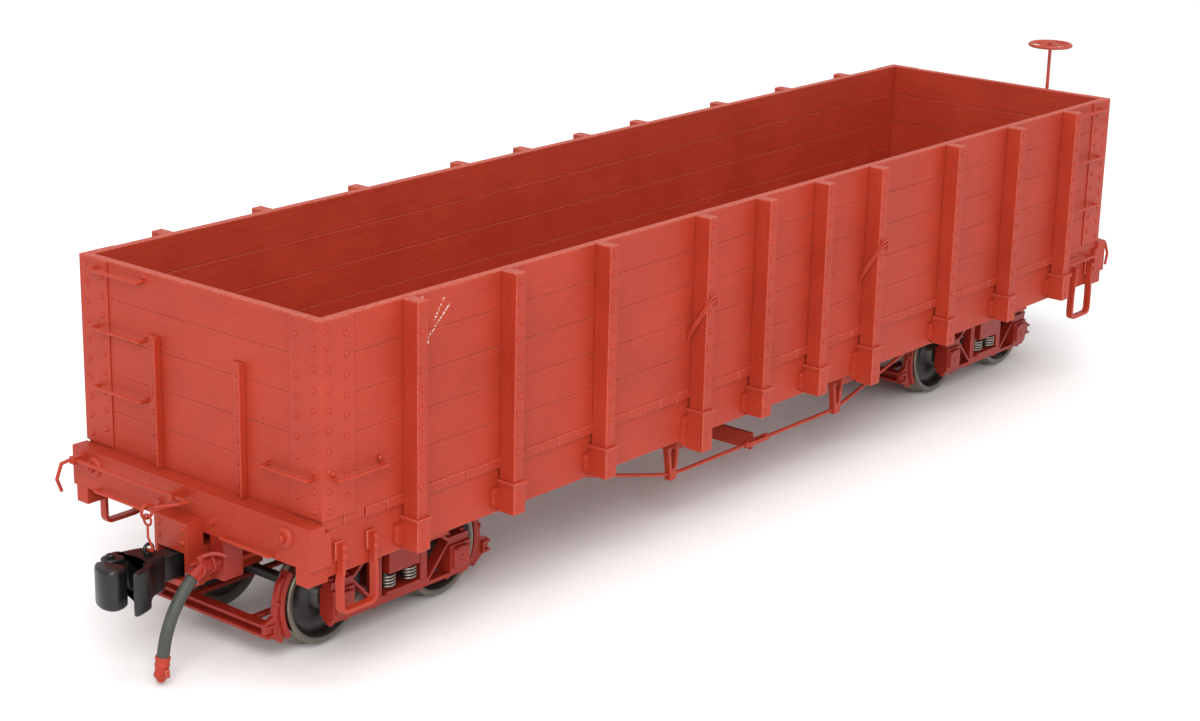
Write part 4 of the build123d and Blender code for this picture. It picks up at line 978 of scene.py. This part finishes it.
steel = bare_spring()
truck_places = {"a": -179.5, "b": 179.5}
axle_offset, frame_offset, axle_z = 26.9, 32.8, 17.65
column_offset, spring_offset, box_bolt_offset = 10.5, 4.8, 3.4
box_bolts = [side * axle_offset + shift for side in (-1, 1)
             for shift in (-box_bolt_offset, box_bolt_offset)]
tie_bar_bottom, box_bar_top, arch_top = 11.35, 25.35, 32.6
wire_half, coil_turns, coil_steps = 0.42 * mm, 4.6, 170
for end in "ab":
    body = "truck_" + end
    center = truck_places[end] * mm
    for part in ("side_frames", "journal_boxes", "bolster", "spring_plank"):
        eased(f"truck_{end}_{part}", truck_red, width=0.3 * mm)
    spring_low, spring_high = np.array(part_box(f"truck_{end}_springs"))
    coil = 3.0 * mm - wire_half
    turn = np.linspace(0, 2 * np.pi * coil_turns, coil_steps)
    rise = np.linspace(spring_low[2] + wire_half, spring_high[2] - wire_half, coil_steps)
    coils = []
    for x in (center - spring_offset * mm, center + spring_offset * mm):
        for y in (-frame_offset * mm, frame_offset * mm):
            helix = np.stack((x + coil * np.cos(turn), y + coil * np.sin(turn), rise), axis=1)
            coils.append(tube(helix, wire_half, (0, 0, 1), 10))
    place(skin("springs_" + end, np.array(coils)), f"truck_{end}_springs", body=body, material=steel,
          slot="spring_steel")

    fixings, details = [], []
    for sign_y in (-1, 1):
        y = sign_y * frame_offset
        under = [(x, y, tie_bar_bottom) for x in (-column_offset, column_offset, *box_bolts)]
        over = [(x, y, box_bar_top) for x in box_bolts]
        over += [(x, y, arch_top) for x in (-column_offset, column_offset)]
        base = np.array((center, 0, 0))
        fixings.append(nuts("nuts_under", np.array(under) * mm + base, [(0, 0, -1)], 1.25 * mm, 1.1 * mm))
        fixings.append(nuts("nuts_over", np.array(over) * mm + base, [(0, 0, 1)], 1.25 * mm, 0.95 * mm))
        tips = np.array(under) * mm + base - np.array((0, 0, 1.1)) * mm
        fixings.append(domes("bolt_tips", tips, [(0, 0, -1)], 0.62 * mm, 0.7 * mm))
        for x in (-axle_offset, axle_offset):
            lid = np.array(((x - 3.5, sign_y * 36.2, axle_z - 2.9), (x + 3.5, sign_y * 36.9, axle_z + 3.1)))
            details.append(blocks("lid", [lid * mm + base], 0.33 * mm, 3))
            spots = np.array(((x - 2.4, sign_y * 36.6, axle_z + 3.6), (x, sign_y * 36.8, axle_z - 0.2)))
            hinge, boss = spots * mm + base
            details.append(lathed("lid_hinge", [hinge], [(1, 0, 0)],
                                  ((0, 0), (0.55, 0), (0.55, 4.8), (0, 4.8)), 12))
            details.append(lathed("lid_boss", [boss], [(0, sign_y, 0)],
                                  ((0, 0), (1.3, 0), (1.1, 0.3), (0.6, 0.45), (0, 0.45))))
    place(joined("truck_fixings_" + end, fixings + details), body=body, material=truck_red)

# ------------------------------------------------------------------ brake gear
# A channel beam hangs outside each axle. Heads at its ends hold curved cast shoes a hair off the
# treads, and two straps tie the beams together under the truck.
beam_out, beam_z, shoe_in, shoe_out = 22.9, 12.1, 16.95, 18.9
arc = np.radians(np.linspace(-33, 40, 16))
shoe_plan = np.concatenate((np.stack((shoe_in * np.cos(arc), shoe_in * np.sin(arc)), axis=1),
                            np.stack((shoe_out * np.cos(arc), shoe_out * np.sin(arc)), axis=1)[::-1]))
rear = np.radians(np.linspace(-28, 36, 12))
head_plan = np.concatenate((np.array(((16.6, 10.6), (18.7, 8.6), (20.2, 4.0), (20.9, -1.4), (24.7, -3.0),
                                      (24.7, -7.6), (21.4, -8.7), (17.6, -11.6))),
                            np.stack((18.6 * np.cos(rear), 18.6 * np.sin(rear)), axis=1)))
beam_plan = np.array(((-1.9, -2.1), (1.9, -2.1), (1.9, -1.2), (-0.9, -1.2), (-0.9, 1.2), (1.9, 1.2),
                      (1.9, 2.1), (-1.9, 2.1)))
for end in "ab":
    center = truck_places[end]
    gear = []
    for way in (-1, 1):
        for sign_y in (-1, 1):
            for plan, low, high, soft in ((shoe_plan, 22.9, 26.7, 0.35), (head_plan, 23.7, 25.9, 0.4)):
                grid = pillow(plan, low, high, soft, 3)
                spot = np.stack((center + way * (axle_offset + grid[..., 0]), sign_y * grid[..., 2], axle_z
                                 + grid[..., 1]), axis=-1)
                gear.append(skin("brake_shoe", spot * mm, lidded=True, sharp=50))
            tie = np.array((center + way * (axle_offset + 19.6), sign_y * 25.9, axle_z + 2.6)) * mm
            gear.append(domes("shoe_bolt", [tie], [(0, sign_y, 0)], 1.1 * mm, 0.8 * mm))
        beam = np.array([[(center + way * (axle_offset + beam_out + x), y, beam_z + z) for x,
                          z in beam_plan] for y in (-26.7, 26.7)]) * mm
        gear.append(skin("beam", beam, lidded=True, sharp=20))
        studs = [(center + way * (axle_offset + beam_out - 0.9), y, beam_z)
                 for y in (-20, -14, -7, 0, 7, 14, 20)]
        gear.append(domes("beam_bolts", np.array(studs) * mm, [(way, 0, 0)], 0.8 * mm, 0.6 * mm))
    for y in (-14.0, 14.0):
        strap_box = np.array(((center - 48.3, y - 1.3, 11.45), (center + 48.3, y + 1.3, 12.75))) * mm
        gear.append(blocks("beam_strap", [strap_box], 0.3 * mm))
    place(joined("brake_gear_" + end, gear), f"truck_{end}_brakes", body="truck_" + end, material=truck_red)

# ------------------------------------------------------------------ floor and light
# The car stands on a plain pale sheet under a broad, even light, with one softer key from the left.
floor_mesh = bpy.data.meshes.new("stage_floor")
reach = 12.0
floor_mesh.from_pydata([(-reach, -reach, 0), (reach, -reach, 0), (reach, reach, 0), (-reach, reach, 0)], [],
                       [(0, 1, 2, 3)])
stage_floor = bpy.data.objects.new("stage_floor", floor_mesh)
bpy.context.scene.collection.objects.link(stage_floor)
pale = Finish("pale_floor", Roughness=0.7)
tint = pale.blend(pale.stretch((1, 1, 1)), (0.90, 0.90, 0.90, 1), (0.93, 0.93, 0.93, 1))
floor_mesh.materials.append(pale.drive(Base_Color=tint))


def soft_light(name, spot, aim, size, power):
    """A square area light at a spot, turned to a point."""
    data = bpy.data.lights.new(name, "AREA")
    data.size = size
    data.energy = power
    light = bpy.data.objects.new(name, data)
    light.location = spot
    light.rotation_euler = (Vector(aim) - Vector(spot)).to_track_quat("-Z", "Y").to_euler()
    bpy.context.scene.collection.objects.link(light)


soft_light("key", (-1.25, -1.05, 1.15), (-0.05, 0, 0.05), 1.1, 27)
soft_light("top", (0.0, -0.3, 2.1), (0, 0, 0.05), 1.8, 16)
world = bpy.data.worlds.new("studio")
world.use_nodes = True
world.node_tree.nodes["Background"].inputs["Color"].default_value = (1, 1, 1, 1)
world.node_tree.nodes["Background"].inputs["Strength"].default_value = 0.86
bpy.context.scene.world = world
bpy.context.scene.view_settings.view_transform = "Standard"
